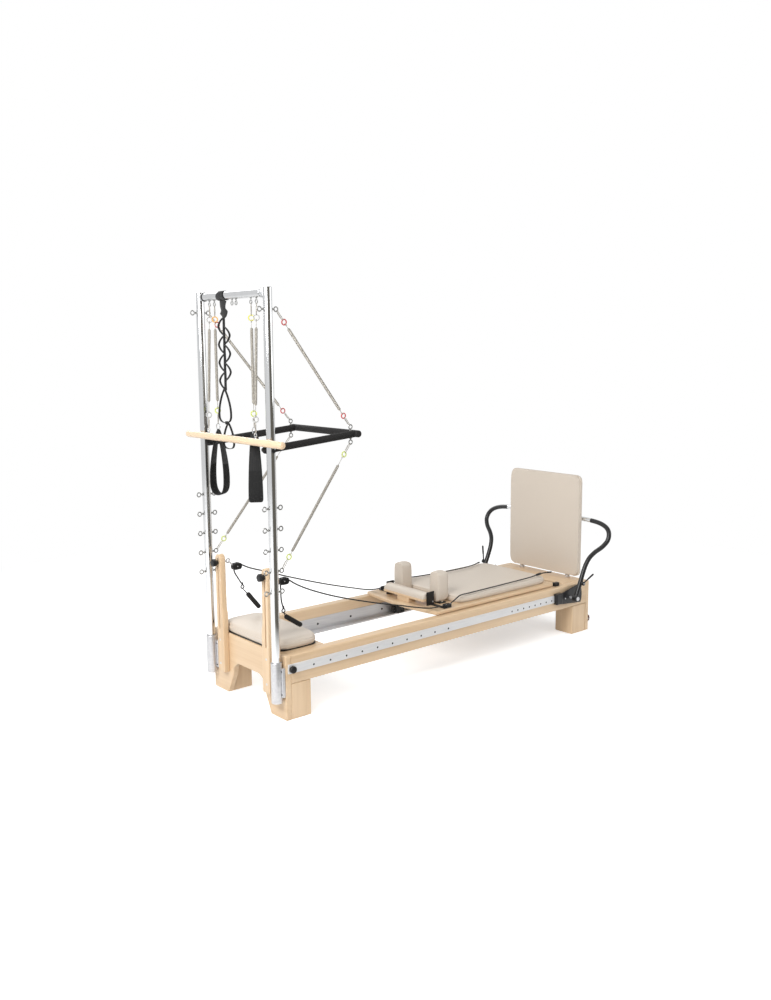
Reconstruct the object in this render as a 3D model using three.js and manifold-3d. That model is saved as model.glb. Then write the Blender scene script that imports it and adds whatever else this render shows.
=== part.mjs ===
// A pilates reformer with a half-trapeze tower and a jump board.
// X runs from the tower end to the foot end, Y across the frame, Z up. Millimetres.
// Right is the -Y side and left the +Y side of a person who lies with the head at the tower.
import * as THREE from 'three';
import { mergeVertices } from 'three/addons/utils/BufferGeometryUtils.js';
import Module from 'manifold-3d';

const wasm = await Module();
wasm.setup();

// Driving dimensions of the frame
const frameLength = 2280;
const frameWidth = 670;
const railTop = 320;
const railHeight = 142;
const railThickness = 55;
const railEdge = 9;
const outerFace = frameWidth / 2;
const innerFace = outerFace - railThickness;
const railBottom = railTop - railHeight;
const seat = 0.3;              // left between two pieces that touch
const running = 0.1;           // between a pin and its bore
const overrun = 6;             // how far a cut runs past its wall

// Wooden end frames
const endBoard = 30;
const footBoardX = frameLength - endBoard;
const legLengthHead = 146;
const legLengthFoot = 159;
const legWidth = 135;
const legCorner = 14;
const archFoot = 54;           // how far each side of the arch leans in above the floor
const archShoulder = 44;       // and how far its rounded shoulder goes on
const archHalfFloor = outerFace - legWidth;
const archHalfSpring = archHalfFloor - archFoot;
const archHalfTop = archHalfSpring - archShoulder;
const archSpring = 109;
const archTop = 176;
const archHaunch = 150;
const crossBoardLength = 195;
const crossBoardThickness = 30;

// Metal tracks on the rails
const trackHeight = 45;
const trackBottom = 234;
const trackProud = 8;
const trackStart = 10;
const trackFootGap = 340;
const trackEnd = frameLength - trackFootGap;
const trackHole = 4.5;
const trackHoleHeight = 251;
const longPitch = 100;
const longFirst = 158;
const longCount = 10;
const shortPitch = 50;
const shortCount = 8;
const shortEndGap = 24;
const shortFirst = trackEnd - shortEndGap - (shortCount - 1) * shortPitch;
const endKnobX = 28;
const endKnobZ = 256;
const endKnobRadius = 18;
const endKnobLength = 22;
const runnerBottom = 184;
const runnerHeight = 79;
const runnerWall = 3.4;
const runnerLedge = 40;
const runnerFloor = 4;
const runnerLip = 9;

// Platform cushion at the tower end
const platformLength = 262;
const platformSideGap = 4;
const platformWidth = 2 * (innerFace - platformSideGap);
const platformHeight = 68;
const platformBoard = 20;
const platformCrown = 14;
const platformCorner = 40;
const platformInset = 12;

// Tower
const postRadius = 21;
const postWall = 2.2;
const postX = -32;
const postInset = 33;          // from the frame's outer face to the post's middle
const postHalfSpan = outerFace - postInset;
const postTop = 2040;
const postBottom = 95;
const postCap = 5;
const crossbarRadius = 19.5;
const crossbarDrop = 25;
const crossbarCollar = 2.2;
const crossbarCollarLength = 9;
const crossbarCollarShift = 26;
const sleeveRadius = 26.5;
const sleeveTop = 292;
const sleeveFloor = 3;
const sleevePadOut = 31;
const sleevePadIn = 37;
const sleevePadHeight = 150;
const eyeFirst = 632;
const eyePitch = 100;
const eyeCount = 5;
const eyeUpper = 1940;
const eyeReach = 44;
const eyeRing = 10.5;
const eyeWire = 3;
const eyeShank = 4;
const hangEyeRing = 9;
const hangEyeWire = 2.4;
const hangEyeShank = 2.8;
const hangEyeDrop = 38;
const outerEyeInset = 91;      // from the post's middle to the outer hanging eye
const innerEyeInset = 47;      // from there to the inner one
const outerEyeY = postHalfSpan - outerEyeInset;
const innerEyeY = outerEyeY - innerEyeInset;
const middleEyeY = 18;
const middleEyeShift = -17;

// Slotted risers and their pulleys
const riserWidth = 50;
const riserThickness = 31.4;
const riserTop = 732;
const riserBottom = 115;
const riserShoulder = 440;
const riserStep = 12;
const riserInset = 87;         // from the post's middle to the riser's
const riserY = postHalfSpan - riserInset;
const slotWidth = 10;
const slotBottom = 345;
const slotMargin = 27;         // from the riser's top to the middle of the slot's round end
const slotTop = riserTop - slotMargin;
const clampDrop = 15;
const clampHeight = slotTop - clampDrop;
const clampBolt = 4;
const clampBoltReach = 18.4;
const clampKnobRadius = 20;
const clampKnobLength = 24;
const clampKnobNeck = 12;
const clampKnobShank = 9;
const clampWasher = 8;
const clampWasherWidth = 4.5;
const pulleyX = 78;
const pulleyDrop = 36;         // from the clamp bolt to the sheave's middle
const pulleyZ = clampHeight - pulleyDrop;
const pulleyLength = 54;
const pulleyHeight = 34;
const pulleyCorner = 16;
const pulleyWidth = 24;
const pulleySlot = 10.4;
const sheaveRadius = 15;
const sheaveWidth = 9.6;
const sheaveGroove = 3.4;
const sheavePin = 3;

// Push-through bar
const pushPivotZ = 1300;
const pushArmInset = 43;       // from the post's middle to the arm's
const pushArmY = postHalfSpan - pushArmInset;
const pushArmRadius = 17.5;
const pushReach = 526;
const pushRise = 44;
const pushEndOverhang = 33;
const pushEndHalf = pushArmY + pushEndOverhang;
const pushBolt = 5.5;
const pushWasher = 10.5;
const pushEyeBack = 30;
const pushEyeRise = 38;

// Springs. An eye's bend is the share of its radius where the clip bears, and its bite the share
// of the clip's wire that lies above the eye's wire there.
const springWire = 1.7;
const springRadius = 5.4;
const springCurls = 3;
const springCurlSteps = 8;
const springSides = 5;
const clipLength = 80;
const clipRadius = 13;
const clipWire = 1.7;
const springTail = 14;
const postEye = { ring: eyeRing, wire: eyeWire, bend: 0.95, bite: 0.96 };
const hangEye = { ring: hangEyeRing, wire: hangEyeWire, bend: 1, bite: 1.16 };
const rollEye = { ring: hangEyeRing, wire: hangEyeWire, bend: 1, bite: 1.22 };

// Wooden roll-down bar, leg straps and looped stretching strap
const rollBarOverhang = 126.5; // how far the dowel runs past the middle of each post
const rollBarLength = 2 * (postHalfSpan + rollBarOverhang);
const rollBarRadius = 17;
const rollBarX = -75;
const rollBarY = -37;
const rollBarZ = 1338;
const rollEyeSpread = 1;
const rollEyeHalf = outerEyeY + rollEyeSpread;
const rollEyeShift = 8;
const rollEyeRise = 32;
const legStrapTop = 1372;
const legStrapBottom = 1044;
const legStrapWidth = 70;
const legStrapOpening = 78;
const legStrapRing = 16.5;
const legStrapThickness = 5;
const legStrapTaperShare = 0.5;
const legStrapTurn = { right: 1, left: -1 };
const ladderY = innerEyeY / 2;
const ladderBand = 28;
const ladderThickness = 3;
const ladderCore = 8;
const ladderWidth = 12;
const ladderGather = 78;
const ladderLoopReach = 46;
const ladderLoopHeight = 87;
const ladderLoopCount = 4;
const upperLoopWidth = 112;
const upperLoopHeight = 170;
const upperLoopShift = 12;
const lowerLoopWidth = 98;
const lowerLoopHeight = 131;
const lowerLoopShift = -15;
// Outlines of hanging loops, as shares of their width and height
const dropTopShares = [[0.35, 0.9], [1.08, 0.5]];
const dropWidestShare = 0.22;
const dropHeelShare = 0.06;
const dropSoleShare = 0.55;
const dropTipShare = 2.4;
const bowTopShares = [[0.45, 0.98], [1, 0.75]];
const bowWidestShare = 0.42;
const bowHeelShare = 0.12;
const bowSoleShare = 0.5;

// Carriage. Its places along the unit are counted from the deck's straight front corner.
const carriageFootGap = 295;
const carriageLength = 975;
const carriageEnd = frameLength - carriageFootGap;
const carriageX = carriageEnd - carriageLength;
const deckTop = 343;
const deckThickness = 19;
const deckSideGap = 35;
const deckHalfWidth = outerFace - deckSideGap;
const deckBow = 32;
const deckCorner = 20;
const padFront = 202;
const padStart = carriageX + padFront;
const padLength = 755;
const padSideGap = 7;
const padWidth = 2 * (innerFace - padSideGap);
const padHeight = 47;
const padCrown = 8;
const padCorner = 46;
const padInset = 9;
const cleatFront = 108;
const cleatInset = 67;
const cleatX = carriageX + cleatFront;
const cleatY = outerFace - cleatInset;
const cleatLength = 46;
const cleatWidth = 30;
const cleatHeight = 20;
const cleatHorn = 9;
const cleatGroove = 4.9;
const restFront = 112;
const restInset = 114;         // from the cleat's middle to the shoulder rest's
const restX = carriageX + restFront;
const restY = cleatY - restInset;
const restDepth = 78;
const restWidth = 87;
const restHeight = 179;
const restCorner = 26;
const restCrown = 4.7;
const restDraw = 6.2;
const restPeg = 7;
const restPegHalf = 26;
const restFoot = 5;
const restFootLength = 47;
const restFootHalf = 36.5;
const headFront = 16;
const headInset = 98;          // from the cleat's middle to the headrest's end
const headX = carriageX + headFront;
const headWidth = 2 * (cleatY - headInset);
const headDepth = 82;
const headBase = 368;
const headBoard = 14;
const headCrown = 34;
const headCrownShare = 1.3;
const headLug = 12;
const headPin = 4;
const hingePlateBack = 44;
const hingePlateTop = 420;
const propLength = 56;
const propWidth = 100;
const wheelRadius = 26;
const wheelWidth = 20;
const wheelInset = 22;
const wheelY = innerFace - wheelInset;
const wheelGroove = 2;
const wheelTreadShare = 0.6;
const axleRadius = 5;
const axleFit = 0.4;
const axleBack = { front: 180, rear: 840 };
const chassisInset = 54;
const chassisY = innerFace - chassisInset;
const chassisWidth = 26;
const chassisDepth = 62;
const chassisFoot = 200;
const chassisFront = 140;
const chassisRear = 890;
const chassisStart = carriageX + chassisFront;
const chassisEnd = carriageX + chassisRear;
const coilRodRadius = 9;
const coilRodCount = 4;
const coilRodPitch = 78;
const coilRodFront = 550;
const coilRodStart = carriageX + coilRodFront;
const coilRodZ = 250;
const coilBar = 14;
const stopGap = 5;             // from the deck's rear edge to the stops on the rails
const stopLength = 40;
const stopWidth = 28;
const stopRise = 22;

// Foot bar, its brackets and levers
const footPivotGap = 206;
const footPivotX = frameLength - footPivotGap;
const footPivotZ = 250;
const footArmOut = 62;         // from the frame's outer face to the arm's middle
const footBowOut = 173;        // and to the middle of the widest bend
const footArmY = outerFace + footArmOut;
const footBow = outerFace + footBowOut;
const footTube = 14;
const footRun = 198;
const footTopX = footPivotX + footRun;
const footTopZ = 700;
const footBarOut = 15;
const footBarHalf = outerFace + footBarOut;
const footHub = 21;
const footHubLength = 28;
const footPin = 8;
const footPinCap = 12.8;
// The bend of each arm, as shares of the bar's height and of the bow
const footBendShares = [
  [0, 0], [0.18, 0], [0.36, 0], [0.44, 0.03], [0.53, 0.14], [0.61, 0.38], [0.70, 0.78],
  [0.79, 0.99], [0.87, 0.95], [0.93, 0.75], [0.975, 0.32],
];
const plateThickness = 6;
const plateStandoff = 14;
const plateRadius = 112;
const plateLowReach = 50;
const plateLowDrop = 43.5;
const plateTailHalf = 27.7;
const plateArc = [-0.44, 0.68];
const plateHoleArc = [-0.34, 0.56];
const plateHoleRadius = 4;
const plateHoleCircle = 94;
const plateHoleCount = 5;
const plateTail = 118;
const blockLength = 56;
const blockHeight = 66;
const blockDepth = 30;
const leverAlong = 98;
const leverReach = 108;
const leverRod = 4.5;
const leverGrip = 5.9;
const leverGripLength = 54;
const leverGripStart = 55;
const leverHub = 12;
const leverHubLength = 17;
const leverTurn = { right: 0.42, left: 1.66 };

// Jump board and transport wheels
const jumpFootGap = 60;
const jumpX = frameLength - jumpFootGap;
const jumpPad = 17;
const jumpPadSink = 4.25;      // how far the pad's solid runs into the board
const jumpBoard = 17;
const jumpSideGap = 47;
const jumpWidth = 2 * (outerFace - jumpSideGap);
const jumpBottom = 337;
const jumpTop = 976;
const jumpCorner = 44;
const jumpCrown = 6;
const jumpInset = 5;
const jumpPeg = 9;
const jumpPegInset = 145;
const jumpPegY = outerFace - jumpPegInset;
const jumpPegDepth = 70;
const jumpCollar = 15;
const rollerRadius = 24;
const rollerWidth = 22;
const rollerProud = 24;
const rollerX = frameLength + rollerProud;
const rollerZ = 64;
const rollerInset = 35;
const rollerY = outerFace - rollerInset;
const rollerAxle = 5;
const rollerBracket = 34;
const rollerBracketProud = 8.5;
const rollerPlate = 5;

// Ropes and hand loops. On the carriage a rope's points are counted back from the deck's front
// corner, inwards from the cleat and up from the deck. Its free run is a list of shares of the
// way to the sheave and of the sag, of the rise, at each. Drops and grips are counted from the
// sheave's middle.
const ropeRadius = 3.5;
const ropeSides = 6;
const ropeSteps = 24;
const ropeDropSteps = 14;
const ropeWrap = 17.6;
const ropeWayCut = 4.2;
const ropeWrapTurns = [0.95, 1.4, 1.95, 2.5, 3.05];
const ropeLeadShare = 0.25;
const ropeEndBack = 72;
const ropeLock = { back: 900, inward: 27, up: 55, length: 50, radius: 7 };
const ropeOnDeck = {
  right: [
    [978, 18, 57], [930, 30, 56], [820, 18, 53], [630, 14, 51], [430, 10, 50], [280, 6, 50],
    [212, 4, 49], [170, 0, 34], [130, 0, 17], [90, 0, 15], [40, 1, 14],
  ],
  left: [
    [858, 35, 53], [780, 62, 54], [678, 78, 55], [580, 78, 55], [487, 72, 55], [390, 60, 54],
    [290, 40, 53], [222, 16, 51], [175, 2, 36], [130, 0, 17], [90, 0, 15], [40, 1, 14],
  ],
};
const ropeEndDrop = { right: 27, left: 18 };
const ropeSagShares = {
  right: [[0.072, 0.054], [0.189, 0.082], [0.289, 0.092], [0.439, 0.115], [0.608, 0.122],
    [0.770, 0.109], [0.926, 0.055]],
  left: [[0.074, 0.042], [0.211, 0.061], [0.353, 0.070], [0.483, 0.070], [0.614, 0.060],
    [0.744, 0.045], [0.863, 0.021]],
};
const ropeDrops = {
  right: [[-17, -48], [-15, -94], [-8, -122], [-4, -134]],
  left: [[-12, -32], [2, -56], [19, -84], [32, -102]],
};
const handGrip = 12;
const handStrap = 3;
const handRing = 9;
const gripEnds = {
  right: [[6, 0, -176], [102, 6, -241]],
  left: [[60, 1, -154], [127, 9, -240]],
};

// Sides of round pieces, from the largest bars down to eye shanks, and steps of drawn curves
const barSides = 12;
const knobSides = 10;
const pinSides = 8;
const boltSides = 6;
const stemSides = 5;
const shankSides = 4;
const wireSides = 3;
const eyeSteps = 6;
const cornerSteps = 4;
const edgeSteps = 3;
const archSteps = 6;
const crestSteps = 8;
const padSides = 18;
const restSides = 16;
const footBarSteps = 32;

// Turns, as angles
const quarter = Math.PI / 2;
const half = Math.PI;
const whole = 2 * Math.PI;

function material(color, roughness, metalness) {
  return new THREE.MeshStandardMaterial({ color, roughness, metalness });
}
const maple = material(0xe6c795, 0.5, 0);
const dowel = material(0xead2a8, 0.5, 0);
const cream = material(0xd8d1c5, 0.7, 0);
const chrome = material(0xd9dadb, 0.15, 1);
const satin = material(0xc9cbcc, 0.4, 1);
const springSteel = material(0xb9b7b0, 0.35, 1);
const pale = material(0xdcdcdc, 0.45, 0.6);
const black = material(0x161616, 0.55, 0);
const foam = material(0x1d1b1b, 0.95, 0);
const webbing = material(0x141414, 0.9, 0);
const cord = material(0x101010, 0.85, 0);
const tyre = material(0x5a2a24, 0.7, 0);

const unit = new THREE.Group();

function add(name, geometry, look, x = 0, y = 0, z = 0) {
  const mesh = new THREE.Mesh(geometry, look);
  mesh.name = name;
  mesh.position.set(x, y, z);
  unit.add(mesh);
  return mesh;
}

// A solid for cutting and joining, from a closed geometry whose shared corners are merged first.
function solid(geometry) {
  const plain = geometry.clone();
  plain.deleteAttribute('normal');
  plain.deleteAttribute('uv');
  const merged = mergeVertices(plain);
  const corners = Array.from(merged.index.array);
  const kept = [];
  for (let i = 0; i < corners.length; i += 3) {
    const [a, b, c] = corners.slice(i, i + 3);
    if (a !== b && b !== c && c !== a) kept.push(a, b, c);
  }
  return new wasm.Manifold(new wasm.Mesh({
    numProp: 3,
    vertProperties: new Float32Array(merged.attributes.position.array),
    triVerts: new Uint32Array(kept),
  }));
}

function geometryOf(body) {
  const mesh = body.getMesh();
  const geometry = new THREE.BufferGeometry();
  geometry.setAttribute('position', new THREE.BufferAttribute(mesh.vertProperties, 3));
  geometry.setIndex(new THREE.BufferAttribute(mesh.triVerts, 1));
  geometry.computeVertexNormals();
  return geometry;
}

function joined(...geometries) {
  return geometries.map(solid).reduce((whole, piece) => whole.add(piece));
}

function cut(body, ...geometries) {
  return geometries.map(solid).reduce((whole, piece) => whole.subtract(piece), body);
}

// A block between two corners
function block(low, high) {
  const size = high.map((value, axis) => value - low[axis]);
  const middle = high.map((value, axis) => (value + low[axis]) / 2);
  return new THREE.BoxGeometry(...size).translate(...middle);
}

// A round bar along an axis, centred on a point
function rod(axis, radius, length, centre, sides = barSides) {
  const geometry = new THREE.CylinderGeometry(radius, radius, length, sides);
  if (axis === 'x') geometry.rotateZ(quarter);
  if (axis === 'z') geometry.rotateX(quarter);
  return geometry.translate(...centre);
}

// The same bar as a bore: its flats, not its corners, lie on the radius
function bore(axis, radius, length, centre, sides = barSides) {
  return rod(axis, radius / Math.cos(half / sides), length, centre, sides);
}

// A ring whose hole looks along an axis
function ring(axis, radius, wire, centre, steps = eyeSteps, sides = wireSides) {
  const geometry = new THREE.TorusGeometry(radius, wire, sides, steps);
  if (axis === 'x') geometry.rotateY(quarter);
  if (axis === 'y') geometry.rotateX(quarter);
  return geometry.translate(...centre);
}

function roundedRect(width, height, radius) {
  const x = width / 2 - radius;
  const y = height / 2 - radius;
  const shape = new THREE.Shape();
  shape.absarc(x, y, radius, 0, quarter);
  shape.absarc(-x, y, radius, quarter, half);
  shape.absarc(-x, -y, radius, half, half + quarter);
  shape.absarc(x, -y, radius, half + quarter, whole);
  return shape;
}

// A straight bar with a drawn section, centred on its own length. Along x the section lies in
// (y, z), along y in (x, z) and along z in (x, y).
function drawn(axis, shape, length, segments = edgeSteps) {
  const geometry = new THREE.ExtrudeGeometry(shape, {
    depth: length, bevelEnabled: false, curveSegments: segments,
  });
  geometry.translate(0, 0, -length / 2);
  if (axis === 'x') {
    geometry.applyMatrix4(new THREE.Matrix4().set(0, 0, 1, 0, 1, 0, 0, 0, 0, 1, 0, 0, 0, 0, 0, 1));
  }
  if (axis === 'y') geometry.rotateX(quarter);
  return geometry;
}

function regular(radius, sides) {
  const shape = new THREE.Shape();
  for (let i = 0; i < sides; i += 1) {
    const angle = whole * i / sides;
    const point = [radius * Math.cos(angle), radius * Math.sin(angle)];
    if (i === 0) shape.moveTo(...point);
    else shape.lineTo(...point);
  }
  shape.closePath();
  return shape;
}

function tubeAlong(points, radius, sides, steps) {
  const path = new THREE.CatmullRomCurve3(points.map((p) => new THREE.Vector3(...p)), false, 'centripetal');
  return new THREE.ExtrudeGeometry(regular(radius, sides), {
    steps, bevelEnabled: false, extrudePath: path,
  });
}

const cushionSides = 24;
const cushionLeastPower = 0.12;
const cushionSideShares = [0.3, 0.72];
const cushionTopShares = [0.72, 0.36];

// A closed cushion: a rounded outline whose sides are drawn in between the corners, a swelling
// edge and a crowned top. Its base is flat and lies at z = 0.
function cushion(length, width, height, crown, corner, inset, around = cushionSides) {
  const pull = inset / 2;
  const power = Math.max(cushionLeastPower, 2 * corner / Math.min(length, width));
  const outline = (shrink, share) => {
    const points = [];
    for (let i = 0; i < around; i += 1) {
      const angle = whole * (i + 0.5) / around;
      const c = Math.cos(angle);
      const s = Math.sin(angle);
      const side = Math.cos(2 * angle);
      const a = length / 2 - shrink - pull * Math.max(0, side);
      const b = width / 2 - shrink - pull * Math.max(0, -side);
      const x = Math.sign(c) * Math.abs(c) ** power;
      const y = Math.sign(s) * Math.abs(s) ** power;
      points.push([a * x * share, b * y * share]);
    }
    return points;
  };
  const shoulder = height - crown;
  const levels = [
    [outline(inset, 1), 0],
    ...cushionSideShares.map((share) => [outline(0, 1), shoulder * share]),
    [outline(inset, 1), shoulder],
    ...cushionTopShares.map((share) => [outline(inset, share), shoulder + crown * (1 - share ** 2)]),
  ];
  const position = [0, 0, 0];
  levels.forEach(([points, z]) => points.forEach(([x, y]) => position.push(x, y, z)));
  position.push(0, 0, height);
  const top = 1 + levels.length * around;
  const index = [];
  for (let i = 0; i < around; i += 1) {
    const next = (i + 1) % around;
    index.push(0, 1 + next, 1 + i);
    for (let level = 0; level < levels.length - 1; level += 1) {
      const low = 1 + level * around;
      const high = low + around;
      index.push(low + i, low + next, high + next, low + i, high + next, high + i);
    }
    index.push(top, top - around + i, top - around + next);
  }
  const geometry = new THREE.BufferGeometry();
  geometry.setAttribute('position', new THREE.Float32BufferAttribute(position, 3));
  geometry.setIndex(index);
  geometry.computeVertexNormals();
  return geometry;
}

const sides = [['right', -1], ['left', 1]];

// The end frames: an arched board glued to two legs, their outer corners rounded. Each also has
// a board across the well: the shelf under the platform cushion and the foot end's cross board.
function archedBoard() {
  const shape = new THREE.Shape();
  shape.moveTo(-outerFace, 0);
  shape.lineTo(-archHalfFloor, 0);
  shape.lineTo(-archHalfSpring, archSpring);
  shape.quadraticCurveTo(-archHalfSpring, archHaunch, -archHalfTop, archTop);
  shape.lineTo(archHalfTop, archTop);
  shape.quadraticCurveTo(archHalfSpring, archHaunch, archHalfSpring, archSpring);
  shape.lineTo(archHalfFloor, 0);
  shape.lineTo(outerFace, 0);
  shape.lineTo(outerFace, railTop);
  shape.lineTo(-outerFace, railTop);
  shape.closePath();
  return drawn('x', shape, endBoard, cornerSteps);
}

function legs(start, length) {
  return sides.map(([, side]) => {
    const middle = side * (outerFace - legWidth / 2);
    return block(
      [start, middle - legWidth / 2, 0],
      [start + length, middle + legWidth / 2, railBottom - seat],
    );
  });
}

function roundedColumn(start, length) {
  const shape = roundedRect(length, frameWidth, legCorner);
  return drawn('z', shape, railTop + 2 * overrun, cornerSteps)
    .translate(start + length / 2, 0, railTop / 2);
}

const platformShelf = block(
  [endBoard / 2, seat - innerFace, railTop - platformBoard],
  [platformLength, innerFace - seat, railTop],
);
const headFrame = joined(archedBoard().translate(endBoard / 2, 0, 0), ...legs(0, legLengthHead))
  .intersect(solid(roundedColumn(0, legLengthHead)))
  .add(solid(platformShelf));
add('head_frame', geometryOf(headFrame), maple);

const jumpPegX = jumpX + jumpPad + jumpBoard / 2;
const crossBoard = block(
  [frameLength - crossBoardLength, seat - innerFace, railTop - crossBoardThickness],
  [frameLength - endBoard / 2, innerFace - seat, railTop],
);
const pegHoles = sides.map(([, side]) => rod(
  'z', jumpPeg + seat, 2 * jumpPegDepth, [jumpPegX, side * jumpPegY, railTop],
));
const footFrame = cut(
  joined(
    archedBoard().translate(footBoardX + endBoard / 2, 0, 0),
    ...legs(frameLength - legLengthFoot, legLengthFoot),
    crossBoard,
  ).intersect(solid(roundedColumn(frameLength - crossBoardLength, crossBoardLength))),
  ...pegHoles,
);
add('foot_frame', geometryOf(footFrame), maple);

// Rails with the block on top that stops the carriage, outer adjustment tracks with their holes
// and an end knob, and inner runners for the carriage wheels
const railLength = footBoardX - endBoard - 2 * seat;
const railMiddle = railTop - railHeight / 2;
const stopStart = carriageEnd + stopGap - frameLength / 2;
for (const [name, side] of sides) {
  const middle = side * (outerFace - railThickness / 2);
  const section = roundedRect(railThickness, railHeight, railEdge);
  const stopMiddle = side * (innerFace + stopWidth / 2) - middle;
  const stop = block(
    [stopStart, stopMiddle - stopWidth / 2, railHeight / 2 - railEdge],
    [stopStart + stopLength, stopMiddle + stopWidth / 2, railHeight / 2 + stopRise],
  );
  add(`rail_${name}`, geometryOf(joined(drawn('x', section, railLength), stop)), maple,
    frameLength / 2, middle, railMiddle);

  const face = outerFace + seat;
  const strip = block([trackStart, 0, trackBottom], [trackEnd, trackProud, trackBottom + trackHeight]);
  const centres = [];
  for (let i = 0; i < longCount; i += 1) centres.push(longFirst + i * longPitch);
  for (let i = 0; i < shortCount; i += 1) centres.push(shortFirst + i * shortPitch);
  const holes = centres.map((x) => rod(
    'y', trackHole, trackProud + 2 * overrun, [x, trackProud / 2, trackHoleHeight], stemSides,
  ));
  const knobY = (trackProud + side * (trackProud + endKnobLength - 2 * seat)) / 2;
  const knob = rod('y', endKnobRadius, endKnobLength, [endKnobX, knobY, endKnobZ], knobSides);
  add(`outer_track_${name}`, geometryOf(cut(joined(strip, knob), ...holes)), pale,
    0, side > 0 ? face : -face - trackProud, 0);

  const runner = new THREE.Shape();
  const inward = -side;
  const corners = [
    [0, 0], [runnerLedge, 0], [runnerLedge, runnerLip], [runnerLedge - runnerWall, runnerLip],
    [runnerLedge - runnerWall, runnerFloor], [runnerWall, runnerFloor],
    [runnerWall, runnerHeight], [0, runnerHeight],
  ];
  corners.forEach(([y, z], i) => (i ? runner.lineTo(inward * y, z) : runner.moveTo(inward * y, z)));
  runner.closePath();
  add(`runner_${name}`, drawn('x', runner, railLength), satin,
    frameLength / 2, side * (innerFace - seat), runnerBottom);
}

// Platform cushion that drops between the rails
add('platform_cushion',
  cushion(platformLength, platformWidth, platformHeight, platformCrown, platformCorner, platformInset),
  cream, platformLength / 2 + seat, 0, railTop + seat);

// Tower posts: steel tubes with a domed cap, the eye bolts that pass through them and the
// pivot bolt of the push-through bar. Each is one welded and bolted piece.
function postTube(side) {
  const y = side * postHalfSpan;
  const height = postTop - postBottom;
  const outer = rod('z', postRadius, height - seat, [postX, y, postBottom + (height + seat) / 2]);
  const inner = rod('z', postRadius - postWall, height - 2 * postCap,
    [postX, y, postBottom + height / 2 - 2 * postCap]);
  const heights = [eyeUpper];
  for (let i = 0; i < eyeCount; i += 1) heights.push(eyeFirst + i * eyePitch);
  const shankStart = postRadius - postWall;
  const shank = eyeReach - eyeRing - shankStart;
  const bolts = [-1, 1].flatMap((way) => heights.flatMap((z) => [
    rod('x', eyeShank, shank, [postX + way * (shankStart + shank / 2), y, z], shankSides),
    ring('y', eyeRing, eyeWire, [postX + way * eyeReach, y, z]),
  ]));
  const inward = pushArmY - pushArmRadius - postCap;
  const outward = postHalfSpan + postRadius + postCap;
  const pivot = rod('y', pushBolt, outward - inward, [postX, side * (outward + inward) / 2, pushPivotZ]);
  const hubMiddle = side * (outward - postCap);
  const hub = rod('y', pushWasher, 2 * postCap, [postX, hubMiddle, pushPivotZ], pinSides);
  const washer = rod('y', pushWasher, postCap / 2, [postX, side * inward, pushPivotZ], pinSides);
  return cut(joined(outer), inner).add(joined(...bolts, pivot, hub, washer));
}
for (const [name, side] of sides) add(`post_${name}`, geometryOf(postTube(side)), chrome);

// Cross bar between the posts, with the hanging eyes and two collars
const crossbarZ = postTop - crossbarDrop;
const crossbarLength = 2 * (postHalfSpan - postRadius - seat);
const hangEyeZ = crossbarZ - hangEyeDrop;
const hangEyes = [
  ...sides.flatMap(([, side]) => [side * outerEyeY, side * innerEyeY]),
  middleEyeShift - middleEyeY, middleEyeShift + middleEyeY,
];
function crossbarBody() {
  const tube = cut(
    joined(rod('y', crossbarRadius, crossbarLength, [postX, 0, crossbarZ])),
    rod('y', crossbarRadius - postWall, crossbarLength + 2 * overrun, [postX, 0, crossbarZ]),
  );
  const shankTop = crossbarZ - crossbarRadius + postWall;
  const shankBottom = hangEyeZ + hangEyeRing;
  const eyes = hangEyes.flatMap((y) => [
    rod('z', hangEyeShank, shankTop - shankBottom, [postX, y, (shankTop + shankBottom) / 2], shankSides),
    ring('x', hangEyeRing, hangEyeWire, [postX, y, hangEyeZ]),
  ]);
  const collarOuter = crossbarRadius + crossbarCollar;
  const collars = sides.map(([, side]) => rod('y', collarOuter, crossbarCollarLength,
    [postX, side * (crossbarLength / 2 - crossbarCollarShift), crossbarZ]));
  const hollow = rod('y', crossbarRadius - postWall / 2, crossbarLength, [postX, 0, crossbarZ]);
  return tube.add(joined(...eyes)).add(cut(joined(...collars), hollow));
}
add('crossbar', geometryOf(crossbarBody()), chrome);

// Aluminium receivers that hold the posts against the end frame
for (const [name, side] of sides) {
  const y = side * postHalfSpan;
  const height = sleeveTop - postBottom + sleeveFloor;
  const middle = postBottom - sleeveFloor + height / 2;
  const shell = rod('z', sleeveRadius, height, [postX, y, middle]);
  const foot = block(
    [postX, y - (side > 0 ? sleevePadIn : sleevePadOut), middle - sleevePadHeight / 2],
    [-seat, y + (side > 0 ? sleevePadOut : sleevePadIn), middle + sleevePadHeight / 2],
  );
  const hollow = rod('z', postRadius + seat, height, [postX, y, middle + sleeveFloor]);
  add(`sleeve_${name}`, geometryOf(cut(joined(shell, foot), hollow)), satin);
}

// Slotted wooden risers bolted to the end frame
function riserShape() {
  const narrow = riserWidth / 2;
  const wide = narrow + riserStep;
  const shape = new THREE.Shape();
  shape.moveTo(-narrow, riserBottom);
  shape.lineTo(wide, riserBottom);
  shape.lineTo(wide, riserShoulder - riserStep);
  shape.quadraticCurveTo(wide, riserShoulder, narrow, riserShoulder + riserStep);
  shape.lineTo(narrow, riserTop - narrow);
  shape.absarc(0, riserTop - narrow, narrow, 0, half);
  shape.closePath();
  const slot = new THREE.Path();
  slot.absarc(0, slotTop, slotWidth / 2, 0, half);
  slot.absarc(0, slotBottom, slotWidth / 2, half, whole);
  slot.closePath();
  shape.holes.push(slot);
  return shape;
}
for (const [name, side] of sides) {
  const riser = drawn('x', riserShape(), riserThickness, archSteps);
  if (side > 0) riser.rotateZ(half);
  add(`riser_${name}`, riser, maple, -seat - riserThickness / 2, side * riserY, 0);
}

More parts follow.
